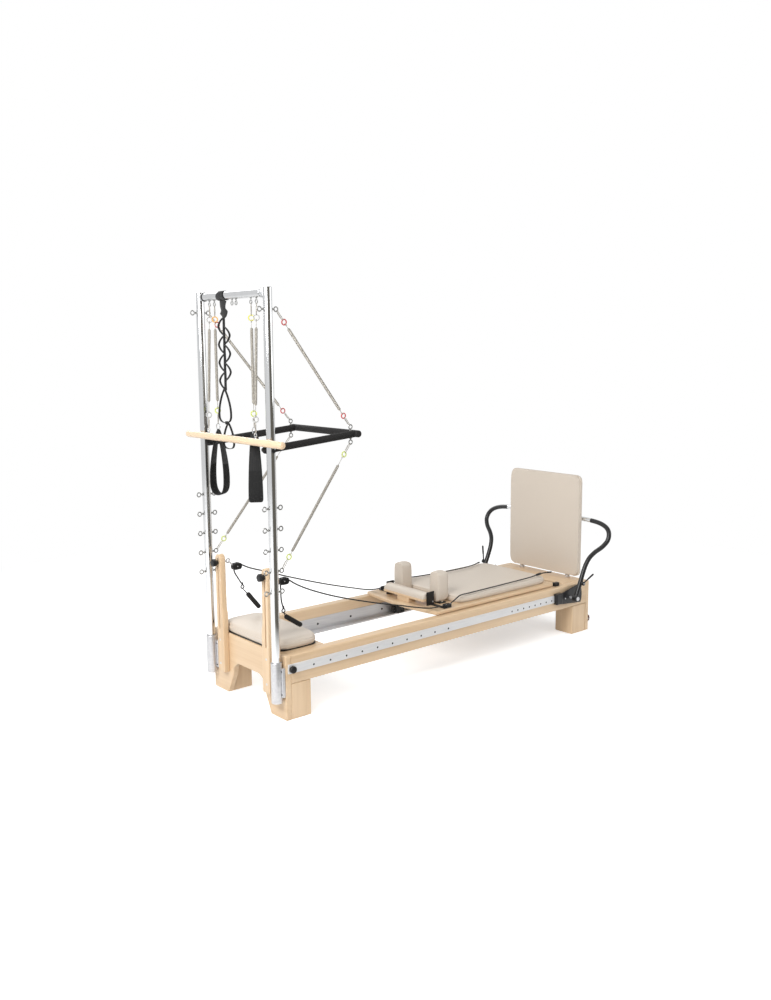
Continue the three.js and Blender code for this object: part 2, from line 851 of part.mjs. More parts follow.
// Clamp knobs on the tower side of the slots
function clampKnob() {
  const middle = -clampKnobLength / 2 - clampKnobShank;
  const knob = rod('x', clampKnobRadius, clampKnobLength, [middle, 0, 0], knobSides);
  const neck = rod('x', clampKnobNeck, clampKnobShank + overrun,
    [-(clampKnobShank + overrun) / 2, 0, 0], knobSides);
  const through = 2 * (clampKnobLength + clampKnobShank + overrun);
  return cut(joined(knob, neck), bore('x', clampBolt + running, through, [0, 0, 0], pinSides));
}
const knobFace = -riserThickness - 3 * seat;
for (const [name, side] of sides) {
  add(`clamp_knob_${name}`, geometryOf(clampKnob()), black, knobFace, side * riserY, clampHeight);
}

// Pulley blocks: the clamp bolt, its eye and the cheeks of the block with the sheave pin
function pulleyBody(side) {
  const y = side * riserY;
  const boltStart = knobFace - clampKnobLength;
  const eyeX = clampBoltReach + eyeRing;
  const bolt = rod('x', clampBolt, clampBoltReach - boltStart,
    [(boltStart + clampBoltReach) / 2, y, clampHeight], boltSides);
  const washer = rod('x', clampWasher, clampWasherWidth,
    [clampWasherWidth / 2 + seat, y, clampHeight], knobSides);
  const eye = ring('y', eyeRing, eyeWire, [eyeX, y, clampHeight]);
  const outline = roundedRect(pulleyLength, pulleyHeight, pulleyCorner);
  const cheeks = drawn('y', outline, pulleyWidth, cornerSteps);
  cheeks.translate(pulleyX, y, pulleyZ);
  const reach = [pulleyX - pulleyLength / 2 - eyeX, pulleyZ - clampHeight];
  const slope = Math.atan2(reach[1], reach[0]);
  const link = rod('x', eyeShank, Math.hypot(...reach), [0, 0, 0], boltSides);
  link.rotateY(-slope);
  link.translate(eyeX + reach[0] / 2 + eyeRing / 2, y, clampHeight + reach[1] / 2);
  const slot = block(
    [pulleyX - ropeWrap - ropeWayCut, y - pulleySlot / 2, pulleyZ - pulleyLength],
    [pulleyX + pulleyLength, y + pulleySlot / 2, pulleyZ + pulleyLength],
  );
  const pin = rod('y', sheavePin, pulleyWidth - 2 * seat, [pulleyX, y, pulleyZ], pinSides);
  return cut(joined(bolt, washer, eye, cheeks, link), slot).add(solid(pin));
}
for (const [name, side] of sides) add(`pulley_${name}`, geometryOf(pulleyBody(side)), black);

// Sheaves with a rope groove, free on their pins
function grooved(radius, width, depth, hole) {
  const edge = width / 2;
  return new THREE.LatheGeometry([
    new THREE.Vector2(hole, -edge), new THREE.Vector2(radius, -edge),
    new THREE.Vector2(radius - depth, 0), new THREE.Vector2(radius, edge),
    new THREE.Vector2(hole, edge), new THREE.Vector2(hole, -edge),
  ], barSides);
}
for (const [name, side] of sides) {
  add(`sheave_${name}`, grooved(sheaveRadius, sheaveWidth, sheaveGroove, sheavePin + seat), satin,
    pulleyX, side * riserY, pulleyZ);
}

// Push-through bar: two padded arms, the padded end bar and the eyes for its springs
const pushEndX = postX + pushReach;
const pushEndZ = pushPivotZ + pushRise;
const pushEyeX = pushEndX - pushEyeBack;
const pushEyeZ = pushEndZ - pushRise * pushEyeBack / pushReach;
function pushBarBody() {
  const parts = [rod('y', pushArmRadius, 2 * pushEndHalf, [pushEndX, 0, pushEndZ], pinSides)];
  const slope = Math.atan2(pushRise, pushReach);
  const span = Math.hypot(pushRise, pushReach);
  for (const [, side] of sides) {
    const arm = rod('x', pushArmRadius, span, [0, 0, 0], pinSides);
    arm.rotateY(-slope);
    arm.translate((postX + pushEndX) / 2, side * pushArmY, (pushPivotZ + pushEndZ) / 2);
    const knuckle = new THREE.SphereGeometry(pushArmRadius, pinSides, pinSides / 2);
    knuckle.translate(postX, side * pushArmY, pushPivotZ);
    parts.push(arm, knuckle);
    const shank = 2 * (pushEyeRise - eyeRing + eyeWire);
    parts.push(rod('z', eyeShank, shank, [pushEyeX, side * pushArmY, pushEyeZ], stemSides));
    for (const way of [1, -1]) {
      parts.push(ring('y', eyeRing, eyeWire, [pushEyeX, side * pushArmY, pushEyeZ + way * pushEyeRise]));
    }
  }
  const bores = sides.map(([, side]) => bore('y', pushBolt + running, 2 * (pushArmRadius + overrun),
    [postX, side * pushArmY, pushPivotZ]));
  return cut(joined(...parts), ...bores);
}
add('push_bar', geometryOf(pushBarBody()), foam);

// Hanging and pulling springs. The wire leaves each clip straight, winds up to its radius within
// half a curl, and returns to the axis the same way.
class SpringPath extends THREE.Curve {
  constructor(length) {
    super();
    this.length = length;
  }

  getPoint(share) {
    const z = share * this.length;
    const body = this.length - 2 * springTail;
    const turn = THREE.MathUtils.clamp((z - springTail) / body, 0, 1) * springCurls;
    const ease = Math.min(1, 2 * turn, 2 * (springCurls - turn));
    const swell = springRadius * ease * ease * (3 - 2 * ease);
    return new THREE.Vector3(
      swell * Math.cos(whole * turn), swell * Math.sin(whole * turn), -z,
    );
  }
}

// The least gap of a spring's wire to itself, between points at least half a curl apart
const gapPoints = 24;
function selfGap(path, wire) {
  const points = path.getSpacedPoints(springCurls * gapPoints);
  let least = Infinity;
  points.forEach((p, i) => points.slice(i + gapPoints / 2).forEach((q) => {
    least = Math.min(least, p.distanceTo(q));
  }));
  return least - 2 * wire;
}

// A spring from one eye to another: across is the direction square to the plane of the eyes
function spring(name, from, to, eye, across) {
  const start = new THREE.Vector3(...from);
  const end = new THREE.Vector3(...to);
  const span = start.distanceTo(end);
  const hook = eye.ring * eye.bend - eye.wire / 2 - clipWire * eye.bite - seat;
  const clip = (top) => {
    const loop = new THREE.TorusGeometry(clipRadius, clipWire, wireSides, eyeSteps);
    const stretch = clipLength / 2 - clipRadius * Math.cos(half / eyeSteps);
    const spot = loop.attributes.position;
    for (let i = 0; i < spot.count; i += 1) {
      const share = THREE.MathUtils.clamp(2 * spot.getY(i) / clipRadius, -1, 1);
      spot.setY(i, spot.getY(i) + stretch * share);
    }
    loop.rotateX(quarter);
    return loop.translate(0, 0, top - clipLength / 2);
  };
  const wireStart = clipWire / 2 - hook - clipLength;
  const wireLength = span + 2 * wireStart;
  const path = new SpringPath(wireLength);
  const coil = new THREE.ExtrudeGeometry(regular(springWire, springSides), {
    steps: (springCurls + 1 / 2) * springCurlSteps, bevelEnabled: false, extrudePath: path,
  }).translate(0, 0, wireStart);
  console.log(name, 'least gap of the wire to itself', selfGap(path, springWire).toFixed(2), 'mm');
  const body = joined(clip(-hook), coil, clip(clipLength + hook - span));
  const zAxis = start.clone().sub(end).normalize();
  const xAxis = new THREE.Vector3(...across);
  xAxis.addScaledVector(zAxis, -xAxis.dot(zAxis)).normalize();
  const yAxis = zAxis.clone().cross(xAxis);
  const mesh = add(name, geometryOf(body), springSteel, ...from);
  mesh.quaternion.setFromRotationMatrix(new THREE.Matrix4().makeBasis(xAxis, yAxis, zAxis));
}

// The four springs of the push-through bar, from the posts' eyes to the eyes on the arms
for (const [name, side] of sides) {
  for (const [place, postZ, way] of [['upper', eyeUpper, 1], ['lower', eyeFirst + eyePitch, -1]]) {
    const from = [postX + eyeReach, side * postHalfSpan, postZ];
    const to = [pushEyeX, side * pushArmY, pushEyeZ + way * pushEyeRise];
    spring(`push_spring_${place}_${name}`, from, to, postEye, [0, 1, 0]);
  }
}

// Roll-down bar: a wooden dowel that hangs from the two outer springs and leans on the posts
function rollBarBody() {
  const parts = [rod('y', rollBarRadius, rollBarLength, [rollBarX, rollBarY, rollBarZ])];
  for (const [, side] of sides) {
    const y = rollBarY + rollEyeShift + side * rollEyeHalf;
    const shank = rollEyeRise - hangEyeRing - rollBarRadius / 2;
    const middle = rollBarZ + rollBarRadius / 2 + shank / 2;
    parts.push(rod('z', hangEyeShank, shank, [rollBarX, y, middle], stemSides));
    parts.push(ring('x', hangEyeRing, hangEyeWire, [rollBarX, y, rollBarZ + rollEyeRise]));
  }
  return joined(...parts);
}
add('roll_down_bar', geometryOf(rollBarBody()), dowel);
for (const [name, side] of sides) {
  const to = [rollBarX, rollBarY + rollEyeShift + side * rollEyeHalf, rollBarZ + rollEyeRise];
  spring(`roll_spring_${name}`, [postX, side * outerEyeY, hangEyeZ], to, rollEye, [1, 0, 0]);
}

// Leg straps: a loop of wide webbing under a steel ring, on the inner springs
function teardrop(halfWidth, height, inset) {
  const [[neckOut, neckUp], [cheekOut, cheekUp]] = dropTopShares;
  const shape = new THREE.Shape();
  const w = halfWidth - inset;
  const top = height - inset * dropTipShare;
  const widest = height * dropWidestShare;
  const heel = height * dropHeelShare;
  const sole = w * dropSoleShare;
  shape.moveTo(0, top);
  shape.bezierCurveTo(-w * neckOut, top * neckUp, -w * cheekOut, height * cheekUp, -w, widest);
  shape.bezierCurveTo(-w, heel, -sole, inset, 0, inset);
  shape.bezierCurveTo(sole, inset, w, heel, w, widest);
  shape.bezierCurveTo(w * cheekOut, height * cheekUp, w * neckOut, top * neckUp, 0, top);
  return shape;
}
for (const [name, side] of sides) {
  const y = side * innerEyeY;
  const height = legStrapTop - legStrapBottom;
  const band = teardrop(legStrapOpening / 2, height, 0);
  band.holes.push(teardrop(legStrapOpening / 2, height, legStrapThickness));
  const loop = drawn('y', band, legStrapWidth);
  const spot = loop.attributes.position;
  for (let i = 0; i < spot.count; i += 1) {
    spot.setY(i, spot.getY(i) * (1 - legStrapTaperShare * (spot.getZ(i) / height) ** 2));
  }
  loop.rotateZ(legStrapTurn[name]);
  const hangerZ = height + legStrapRing - legStrapThickness;
  const hanger = ring('x', legStrapRing, hangEyeWire, [0, 0, hangerZ]);
  add(`leg_strap_${name}`, geometryOf(joined(loop, hanger)), webbing, postX, y, legStrapBottom);
  const ringTop = legStrapBottom + hangerZ + legStrapRing - hangEyeRing;
  spring(`strap_spring_${name}`, [postX, y, hangEyeZ], [postX, y, ringTop], hangEye, [1, 0, 0]);
}

// Looped stretching strap: a band round the cross bar that is gathered into a core, small loops
// sewn to both sides of the core in turn, and two large loops below it
function bow(reach, height, inset) {
  const [[crestOut, crestUp], [cheekOut, cheekUp]] = bowTopShares;
  const shape = new THREE.Shape();
  const out = inset - reach;
  const up = (share) => inset + (height - 2 * inset) * share;
  shape.moveTo(-inset, up(1));
  shape.bezierCurveTo(out * crestOut, up(crestUp), out * cheekOut, up(cheekUp), out, up(bowWidestShare));
  shape.bezierCurveTo(out, up(bowHeelShare), out * bowSoleShare, up(0), -inset, up(0));
  shape.closePath();
  return shape;
}
function looped(outline, width, height) {
  const band = outline(width, height, 0);
  band.holes.push(outline(width, height, ladderThickness));
  return drawn('x', band, ladderWidth);
}
function ladderBody() {
  const bandInner = crossbarRadius + seat;
  const gatherEnd = -bandInner - ladderThickness - ladderGather;
  const band = rod('y', bandInner + ladderThickness, ladderBand, [0, 0, 0]);
  const gather = new THREE.Shape();
  gather.moveTo(-ladderBand / 2, -bandInner);
  gather.lineTo(-ladderCore / 2, gatherEnd);
  gather.lineTo(ladderCore / 2, gatherEnd);
  gather.lineTo(ladderBand / 2, -bandInner);
  gather.closePath();
  const coreEnd = gatherEnd - ladderLoopCount * ladderLoopHeight;
  const core = block(
    [-ladderWidth / 2, -ladderCore / 2, coreEnd],
    [ladderWidth / 2, ladderCore / 2, gatherEnd + ladderThickness],
  );
  const loops = [];
  for (let i = 0; i < 2 * ladderLoopCount - 1; i += 1) {
    const loop = looped(bow, ladderLoopReach, ladderLoopHeight);
    if (i % 2 === 0) loop.rotateZ(half);
    loops.push(loop.translate(0, 0, gatherEnd - ladderLoopHeight * (i / 2 + 1)));
  }
  const upperEnd = coreEnd + 3 * ladderThickness - upperLoopHeight;
  const lowerEnd = upperEnd + 2 * ladderThickness - lowerLoopHeight;
  loops.push(
    looped(teardrop, upperLoopWidth / 2, upperLoopHeight).translate(0, upperLoopShift, upperEnd),
    looped(teardrop, lowerLoopWidth / 2, lowerLoopHeight).translate(0, lowerLoopShift, lowerEnd),
  );
  const way = bore('y', bandInner, ladderBand + 2 * overrun, [0, 0, 0]);
  return cut(joined(band, drawn('x', gather, ladderWidth), core, ...loops), way);
}
add('ladder_strap', geometryOf(ladderBody()), webbing, postX, ladderY, crossbarZ);

// Carriage deck with its bowed front edge and the block that props the headrest
const deckUnder = deckTop - deckThickness;
function deckShape() {
  const shape = new THREE.Shape();
  const end = carriageEnd - deckCorner;
  shape.moveTo(carriageX, -deckHalfWidth);
  shape.lineTo(end, -deckHalfWidth);
  shape.absarc(end, deckCorner - deckHalfWidth, deckCorner, -quarter, 0);
  shape.absarc(end, deckHalfWidth - deckCorner, deckCorner, 0, quarter);
  shape.lineTo(carriageX, deckHalfWidth);
  shape.quadraticCurveTo(carriageX - 2 * deckBow, 0, carriageX, -deckHalfWidth);
  return shape;
}
const restPegs = [-restPegHalf, restPegHalf];
const axleX = { front: carriageX + axleBack.front, rear: carriageX + axleBack.rear };
const axleZ = runnerBottom + runnerFloor + seat + wheelRadius;
function deckBody() {
  const plate = new THREE.ExtrudeGeometry(deckShape(), {
    depth: deckThickness, bevelEnabled: false, curveSegments: archSteps,
  }).translate(0, 0, deckUnder);
  const propHeight = headBase - deckTop - 2 * seat;
  const prop = block(
    [headX, -propWidth / 2, deckTop - deckThickness / 2],
    [headX + propLength, propWidth / 2, deckTop + propHeight],
  );
  const deckMiddle = deckTop - deckThickness / 2;
  const holes = sides.flatMap(([, side]) => restPegs.map((shift) => rod('z', restPeg + seat,
    2 * deckThickness, [restX + restDepth / 2, side * restY + shift, deckMiddle], pinSides)));
  const beamTop = deckUnder + deckThickness / 2;
  const under = deckUnder - chassisDepth;
  const inner = chassisY - chassisWidth;
  const beams = [];
  for (const [, side] of sides) {
    const [near, far] = side > 0 ? [inner, chassisY] : [-chassisY, -inner];
    beams.push(block([chassisStart, near, under], [chassisEnd, far, beamTop]));
    for (const x of Object.values(axleX)) {
      beams.push(block([x - chassisWidth, near, chassisFoot], [x + chassisWidth, far, under + overrun]));
      const reach = wheelY + wheelWidth / 2 + seat - inner;
      beams.push(rod('y', axleRadius, reach, [x, side * (inner + reach / 2), axleZ], pinSides));
    }
  }
  for (const x of [chassisStart, chassisEnd - chassisWidth]) {
    beams.push(block([x, -chassisY, under + chassisWidth], [x + chassisWidth, chassisY, beamTop]));
  }
  const anchor = block(
    [coilRodStart - seat - chassisWidth, -chassisY, coilRodZ - chassisWidth / 2],
    [coilRodStart - seat, chassisY, beamTop],
  );
  return cut(joined(plate, prop, ...beams, anchor), ...holes);
}
add('carriage_deck', geometryOf(deckBody()), maple);

// Carriage wheels on the stub axles of the chassis
function wheel(radius, width, groove, hole) {
  const edge = width / 2;
  return new THREE.LatheGeometry([
    new THREE.Vector2(hole, -edge), new THREE.Vector2(radius - groove, -edge),
    new THREE.Vector2(radius, -edge * wheelTreadShare), new THREE.Vector2(radius, edge * wheelTreadShare),
    new THREE.Vector2(radius - groove, edge), new THREE.Vector2(hole, edge),
    new THREE.Vector2(hole, -edge),
  ], barSides);
}
for (const [name, side] of sides) {
  for (const [place, x] of Object.entries(axleX)) {
    add(`wheel_${place}_${name}`, wheel(wheelRadius, wheelWidth, wheelGroove, axleRadius + axleFit), black,
      x, side * wheelY, axleZ);
  }
}

// Carriage pad
add('carriage_pad', cushion(padLength, padWidth, padHeight, padCrown, padCorner, padInset), cream,
  padStart + padLength / 2, 0, deckTop + seat);

// Shoulder rests: padded blocks on two steel pegs that drop into the deck
for (const [name, side] of sides) {
  const pad = cushion(restHeight, restWidth, restDepth, restCrown, restCorner, restDraw, restSides);
  pad.rotateY(-quarter);
  pad.translate(restDepth, 0, restHeight / 2 + restFoot);
  const pegLength = deckThickness + restFoot + restCorner;
  const pegs = restPegs.map((shift) => rod('z', restPeg, pegLength,
    [restDepth / 2, shift, pegLength / 2 - deckThickness + seat], pinSides));
  const foot = block(
    [(restDepth - restFootLength) / 2, -restFootHalf, seat],
    [(restDepth + restFootLength) / 2, restFootHalf, restFoot + restCorner / 2],
  );
  add(`shoulder_rest_${name}`, geometryOf(joined(pad, foot, ...pegs)), cream, restX, side * restY, deckTop);
}

// Headrest: a padded half-round on its board, hinged at its rear edge in two lugs of the deck
function headrestBody() {
  const shape = new THREE.Shape();
  shape.moveTo(0, 0);
  shape.lineTo(headDepth, 0);
  shape.lineTo(headDepth, headBoard);
  const crest = headBoard + headCrown * headCrownShare;
  shape.bezierCurveTo(headDepth, crest, 0, crest, 0, headBoard);
  shape.closePath();
  const roll = drawn('y', shape, headWidth, crestSteps).translate(headX, 0, headBase);
  const lugMiddle = (headWidth - headLug) / 2;
  const lugs = sides.map(([, side]) => block(
    [headX + headDepth - 2 * headLug, side * lugMiddle - headLug / 2, headBase - headLug],
    [headX + headDepth, side * lugMiddle + headLug / 2, headBase + headBoard / 2],
  ));
  const bores = sides.map(([, side]) => bore('y', headPin + running, 4 * headLug,
    [headX + headDepth - headLug, side * headWidth / 2, headBase - headLug / 2], pinSides));
  return cut(joined(roll, ...lugs), ...bores);
}
add('headrest', geometryOf(headrestBody()), cream);

// Rope cleats, each with the tall bracket that carries the headrest hinge
const headHingeX = headX + headDepth - headLug;
const headHingeZ = headBase - headLug / 2;
for (const [name, side] of sides) {
  const arm = headWidth / 2 + seat;
  const low = (a, b) => (side > 0 ? a : -b);
  const high = (a, b) => (side > 0 ? b : -a);
  const base = deckTop + seat;
  const cleatInner = cleatY - cleatWidth / 2;
  const cleatOuter = cleatY + cleatWidth / 2;
  const plate = block(
    [headHingeX - headLug, low(arm, cleatOuter), base],
    [headHingeX + headLug, high(arm, cleatOuter), base + restFoot],
  );
  const upright = block(
    [headHingeX - hingePlateBack, low(arm, arm + restFoot), base],
    [headHingeX + headLug, high(arm, arm + restFoot), hingePlateTop],
  );
  const cheek = block(
    [cleatX - cleatLength / 2, low(cleatInner, cleatOuter), base],
    [cleatX + cleatLength / 2, high(cleatInner, cleatOuter), base + cleatHeight],
  );
  const ropeWay = block(
    [cleatX - cleatLength, side * cleatY - cleatGroove, base + cleatHorn],
    [cleatX + cleatLength, side * cleatY + cleatGroove, base + 2 * cleatHeight],
  );
  const pinMiddle = side * (arm + restFoot - headLug / 2);
  const pin = rod('y', headPin, headLug, [headHingeX, pinMiddle, headHingeZ], pinSides);
  add(`rope_cleat_${name}`, geometryOf(cut(joined(plate, upright, cheek), ropeWay).add(solid(pin))), black);
}

// Carriage springs between the anchor beam of the deck and a steel bar on the foot board
function coilSet() {
  const barEnd = footBoardX - seat;
  const spread = coilRodPitch * (coilRodCount - 1) / 2;
  const parts = [block(
    [barEnd - coilBar, -spread - coilRodPitch / 2, coilRodZ - coilBar],
    [barEnd, spread + coilRodPitch / 2, coilRodZ + coilBar],
  )];
  const length = barEnd - coilBar / 2 - coilRodStart;
  for (let i = 0; i < coilRodCount; i += 1) {
    parts.push(rod('x', coilRodRadius, length,
      [coilRodStart + length / 2, i * coilRodPitch - spread, coilRodZ], pinSides));
  }
  return joined(...parts);
}
add('carriage_springs', geometryOf(coilSet()), springSteel);

// Foot bar brackets: the toothed sector plate, the end block of the track and the pivot pin
const plateFace = outerFace + plateStandoff;
function sectorShape() {
  const shape = new THREE.Shape();
  shape.moveTo(-plateTail, -plateTailHalf);
  shape.lineTo(plateLowReach, -plateLowDrop);
  shape.absarc(0, 0, plateRadius, ...plateArc);
  shape.lineTo(-plateTail, plateTailHalf);
  shape.closePath();
  const [firstHole, lastHole] = plateHoleArc;
  for (let i = 0; i < plateHoleCount; i += 1) {
    const angle = firstHole + (lastHole - firstHole) * i / (plateHoleCount - 1);
    const hole = new THREE.Path();
    const centre = [plateHoleCircle * Math.cos(angle), plateHoleCircle * Math.sin(angle)];
    hole.absarc(...centre, plateHoleRadius, 0, whole);
    shape.holes.push(hole);
  }
  return shape;
}
function bracketBody(side) {
  const faceY = side * (plateFace + plateThickness / 2);
  const plate = drawn('y', sectorShape(), plateThickness, cornerSteps)
    .translate(footPivotX, faceY, footPivotZ);
  const [nearRail, farRail] = [outerFace + seat, plateFace + plateThickness / 2];
  const span = (a, b) => (side > 0 ? [a, b] : [-b, -a]);
  const [low, high] = span(nearRail, farRail);
  const pad = block(
    [footPivotX - plateTail / 2, low, footPivotZ - blockHeight / 3],
    [footPivotX + plateTail / 2, high, footPivotZ + blockHeight / 3],
  );
  const [blockLow, blockHigh] = span(nearRail, outerFace + blockDepth);
  const start = trackEnd + 2 * seat;
  const end = block(
    [start, blockLow, trackBottom + trackHeight / 2 - blockHeight / 2],
    [start + blockLength, blockHigh, trackBottom + trackHeight / 2 + blockHeight / 2],
  );
  const pinEnd = footArmY + footHubLength / 2 + seat + plateThickness;
  const pinMiddle = side * (pinEnd + plateFace) / 2;
  const capMiddle = side * (pinEnd - plateThickness / 2);
  const pin = rod('y', footPin, pinEnd - plateFace, [footPivotX, pinMiddle, footPivotZ], knobSides);
  const cap = rod('y', footPinCap, plateThickness, [footPivotX, capMiddle, footPivotZ], knobSides);
  return joined(plate, pad, end, pin, cap);
}
for (const [name, side] of sides) add(`foot_bracket_${name}`, geometryOf(bracketBody(side)), pale);

// Foot bar: one bent tube that bows outwards from both pivots, with a hub and a lever pin on
// each arm
const footLean = Math.atan2(footTopX - footPivotX, footTopZ - footPivotZ);
const leverX = footPivotX + leverAlong * Math.sin(footLean);
const leverZ = footPivotZ + leverAlong * Math.cos(footLean);
const leverFace = footArmY + footTube + 2 * seat;
function footBarBody() {
  const rise = footTopZ - footPivotZ;
  const run = footTopX - footPivotX;
  const arm = footBendShares.map(([up, out]) => [
    footPivotX + run * up, footArmY + (footBow - footArmY) * out, footPivotZ + rise * up,
  ]);
  const middle = [[footTopX, footBarHalf, footTopZ], [footTopX, footBarHalf / 3, footTopZ]];
  const near = [...arm, ...middle];
  const far = near.map(([x, y, z]) => [x, -y, z]);
  const points = [...far, ...near.reverse()];
  const parts = [tubeAlong(points, footTube, pinSides, footBarSteps)];
  const bores = [];
  for (const [, side] of sides) {
    const pivot = [footPivotX, side * footArmY, footPivotZ];
    parts.push(rod('y', footHub, footHubLength, pivot, knobSides));
    const pinLength = leverFace + leverHubLength + seat - footArmY;
    const pinMiddle = side * (footArmY + pinLength / 2);
    parts.push(rod('y', leverRod, pinLength, [leverX, pinMiddle, leverZ], pinSides));
    bores.push(bore('y', footPin + running, 2 * footHubLength, pivot, knobSides));
  }
  return cut(joined(...parts), ...bores);
}
add('foot_bar', geometryOf(footBarBody()), black);

// Locking levers on the foot bar's arms, turned as they stand in the photograph
for (const [name, side] of sides) {
  const y = side * (leverFace + leverHubLength / 2);
  const hub = rod('y', leverHub, leverHubLength, [0, 0, 0], knobSides);
  const handle = rod('x', leverRod, leverReach, [leverReach / 2, 0, 0], pinSides);
  const gripMiddle = leverGripStart + leverGripLength / 2;
  const grip = rod('x', leverGrip, leverGripLength, [gripMiddle, 0, 0], pinSides);
  const hole = bore('y', leverRod + running, 2 * leverHubLength, [0, 0, 0], pinSides);
  const lever = geometryOf(cut(joined(hub, handle, grip), hole));
  const mesh = add(`foot_lever_${name}`, lever, black, leverX, y, leverZ);
  mesh.rotation.y = -leverTurn[name];
}

// Jump board: a wooden board with a padded front on two steel pegs
function jumpBody() {
  const height = jumpTop - jumpBottom;
  const board = drawn('x', roundedRect(jumpWidth, height, jumpCorner), jumpBoard, cornerSteps);
  board.translate(jumpX + jumpPad + jumpBoard / 2, 0, jumpBottom + height / 2);
  const padDepth = jumpPad + jumpPadSink;
  const pad = cushion(height, jumpWidth, padDepth, jumpCrown, jumpCorner, jumpInset, padSides);
  pad.rotateY(-quarter);
  pad.translate(jumpX + padDepth, 0, jumpBottom + height / 2);
  const pegLength = jumpPegDepth + jumpBottom - railTop - seat;
  const pegMiddle = jumpBottom + jumpCrown - pegLength / 2;
  const pegs = sides.flatMap(([, side]) => [
    rod('z', jumpPeg - seat, pegLength, [jumpPegX, side * jumpPegY, pegMiddle], pinSides),
    rod('z', jumpCollar, jumpBottom - railTop - seat + jumpCrown,
      [jumpPegX, side * jumpPegY, (jumpBottom + railTop + seat + jumpCrown) / 2], knobSides),
  ]);
  return joined(board, pad, ...pegs);
}
add('jump_board', geometryOf(jumpBody()), cream);

// Transport wheels on an axle across the foot end
const rollerStart = frameLength + seat;
function rollerAxleBody() {
  const length = 2 * (rollerY + rollerWidth / 2 + seat);
  const parts = [rod('y', rollerAxle, length + 2 * rollerPlate, [rollerX, 0, rollerZ], pinSides)];
  for (const [, side] of sides) {
    const y = side * (rollerY - rollerWidth / 2 - rollerPlate / 2 - 2 * seat);
    parts.push(block(
      [rollerStart, y - rollerPlate / 2, rollerZ - rollerBracket / 2],
      [rollerX + rollerBracketProud, y + rollerPlate / 2, rollerZ + rollerBracket / 2],
    ));
    const foot = side * (rollerY - rollerWidth / 2 - rollerBracket / 2);
    parts.push(block(
      [rollerStart, foot - rollerBracket / 2, rollerZ - rollerBracket / 2],
      [rollerStart + rollerPlate, foot + rollerBracket / 2 - 2 * seat, rollerZ + rollerBracket / 2],
    ));
  }
  return joined(...parts);
}
add('roller_axle', geometryOf(rollerAxleBody()), satin);
for (const [name, side] of sides) {
  add(`roller_${name}`, wheel(rollerRadius, rollerWidth, wheelGroove, rollerAxle + axleFit), tyre,
    rollerX, side * rollerY, rollerZ);
}

// Ropes: from the loose end on the pad through the cleat to the sheave, over it and down to the
// hand loop. The right one carries a lock near its loose end.
function ropeBody(name, side) {
  const onDeck = ([back, inward, up]) => [carriageX + back, side * (cleatY - inward), deckTop + up];
  const deckRun = ropeOnDeck[name].map(onDeck);
  const start = deckRun[deckRun.length - 1];
  const end = [pulleyX + ropeEndBack, side * riserY, pulleyZ - ropeEndDrop[name]];
  const between = ropeSagShares[name].map(([share, sag]) => [
    start[0] + (end[0] - start[0]) * share,
    start[1] + (end[1] - start[1]) * share,
    start[2] + (end[2] - start[2]) * (share - sag),
  ]);
  const wrap = ropeWrapTurns.map((angle) => [
    pulleyX + ropeWrap * Math.cos(angle), side * riserY, pulleyZ + ropeWrap * Math.sin(angle),
  ]);
  const drop = ropeDrops[name].map(([x, z]) => [pulleyX + x, side * riserY, pulleyZ + z]);
  const lead = end.map((value, i) => value + (wrap[0][i] - value) * ropeLeadShare);
  const parts = [
    tubeAlong([...deckRun, ...between, end, lead], ropeRadius, ropeSides, ropeSteps),
    tubeAlong([end, ...wrap, ...drop], ropeRadius, ropeSides, ropeDropSteps),
  ];
  if (side < 0) {
    const { back, inward, up, length, radius } = ropeLock;
    parts.push(rod('x', radius, length, onDeck([back, inward, up]), pinSides));
  }
  return joined(...parts);
}
for (const [name, side] of sides) add(`rope_${name}`, geometryOf(ropeBody(name, side)), cord);

// Hand loops: a ring under the rope, two straps and a padded grip
function limb(from, to, radius, steps) {
  const start = new THREE.Vector3(...from);
  const end = new THREE.Vector3(...to);
  const geometry = new THREE.CylinderGeometry(radius, radius, start.distanceTo(end), steps);
  const turn = new THREE.Quaternion().setFromUnitVectors(
    new THREE.Vector3(0, 1, 0), end.clone().sub(start).normalize(),
  );
  geometry.applyQuaternion(turn);
  return geometry.translate(...start.add(end).divideScalar(2).toArray());
}
for (const [name, side] of sides) {
  const drop = ropeDrops[name];
  const [dropX, dropZ] = drop[drop.length - 1];
  const hook = [pulleyX + dropX, side * riserY, pulleyZ + dropZ - handRing - handStrap - seat];
  const low = [hook[0], hook[1], hook[2] - handRing];
  const [upper, lower] = gripEnds[name].map(([x, inward, z]) => [
    pulleyX + x, side * (riserY - inward), pulleyZ + z,
  ]);
  const body = joined(
    ring('y', handRing, handStrap, hook),
    limb(low, upper, handStrap, boltSides),
    limb(low, lower, handStrap, boltSides),
    limb(upper, lower, handGrip, pinSides),
  );
  add(`hand_loop_${name}`, geometryOf(body), webbing);
}

// The part's frame: the origin lies under the middle of the whole box, on the floor
unit.updateMatrixWorld(true);
const bounds = new THREE.Box3().setFromObject(unit);
unit.position.set(
  -(bounds.min.x + bounds.max.x) / 2, -(bounds.min.y + bounds.max.y) / 2, -bounds.min.z,
);

export default unit;
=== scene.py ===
import math

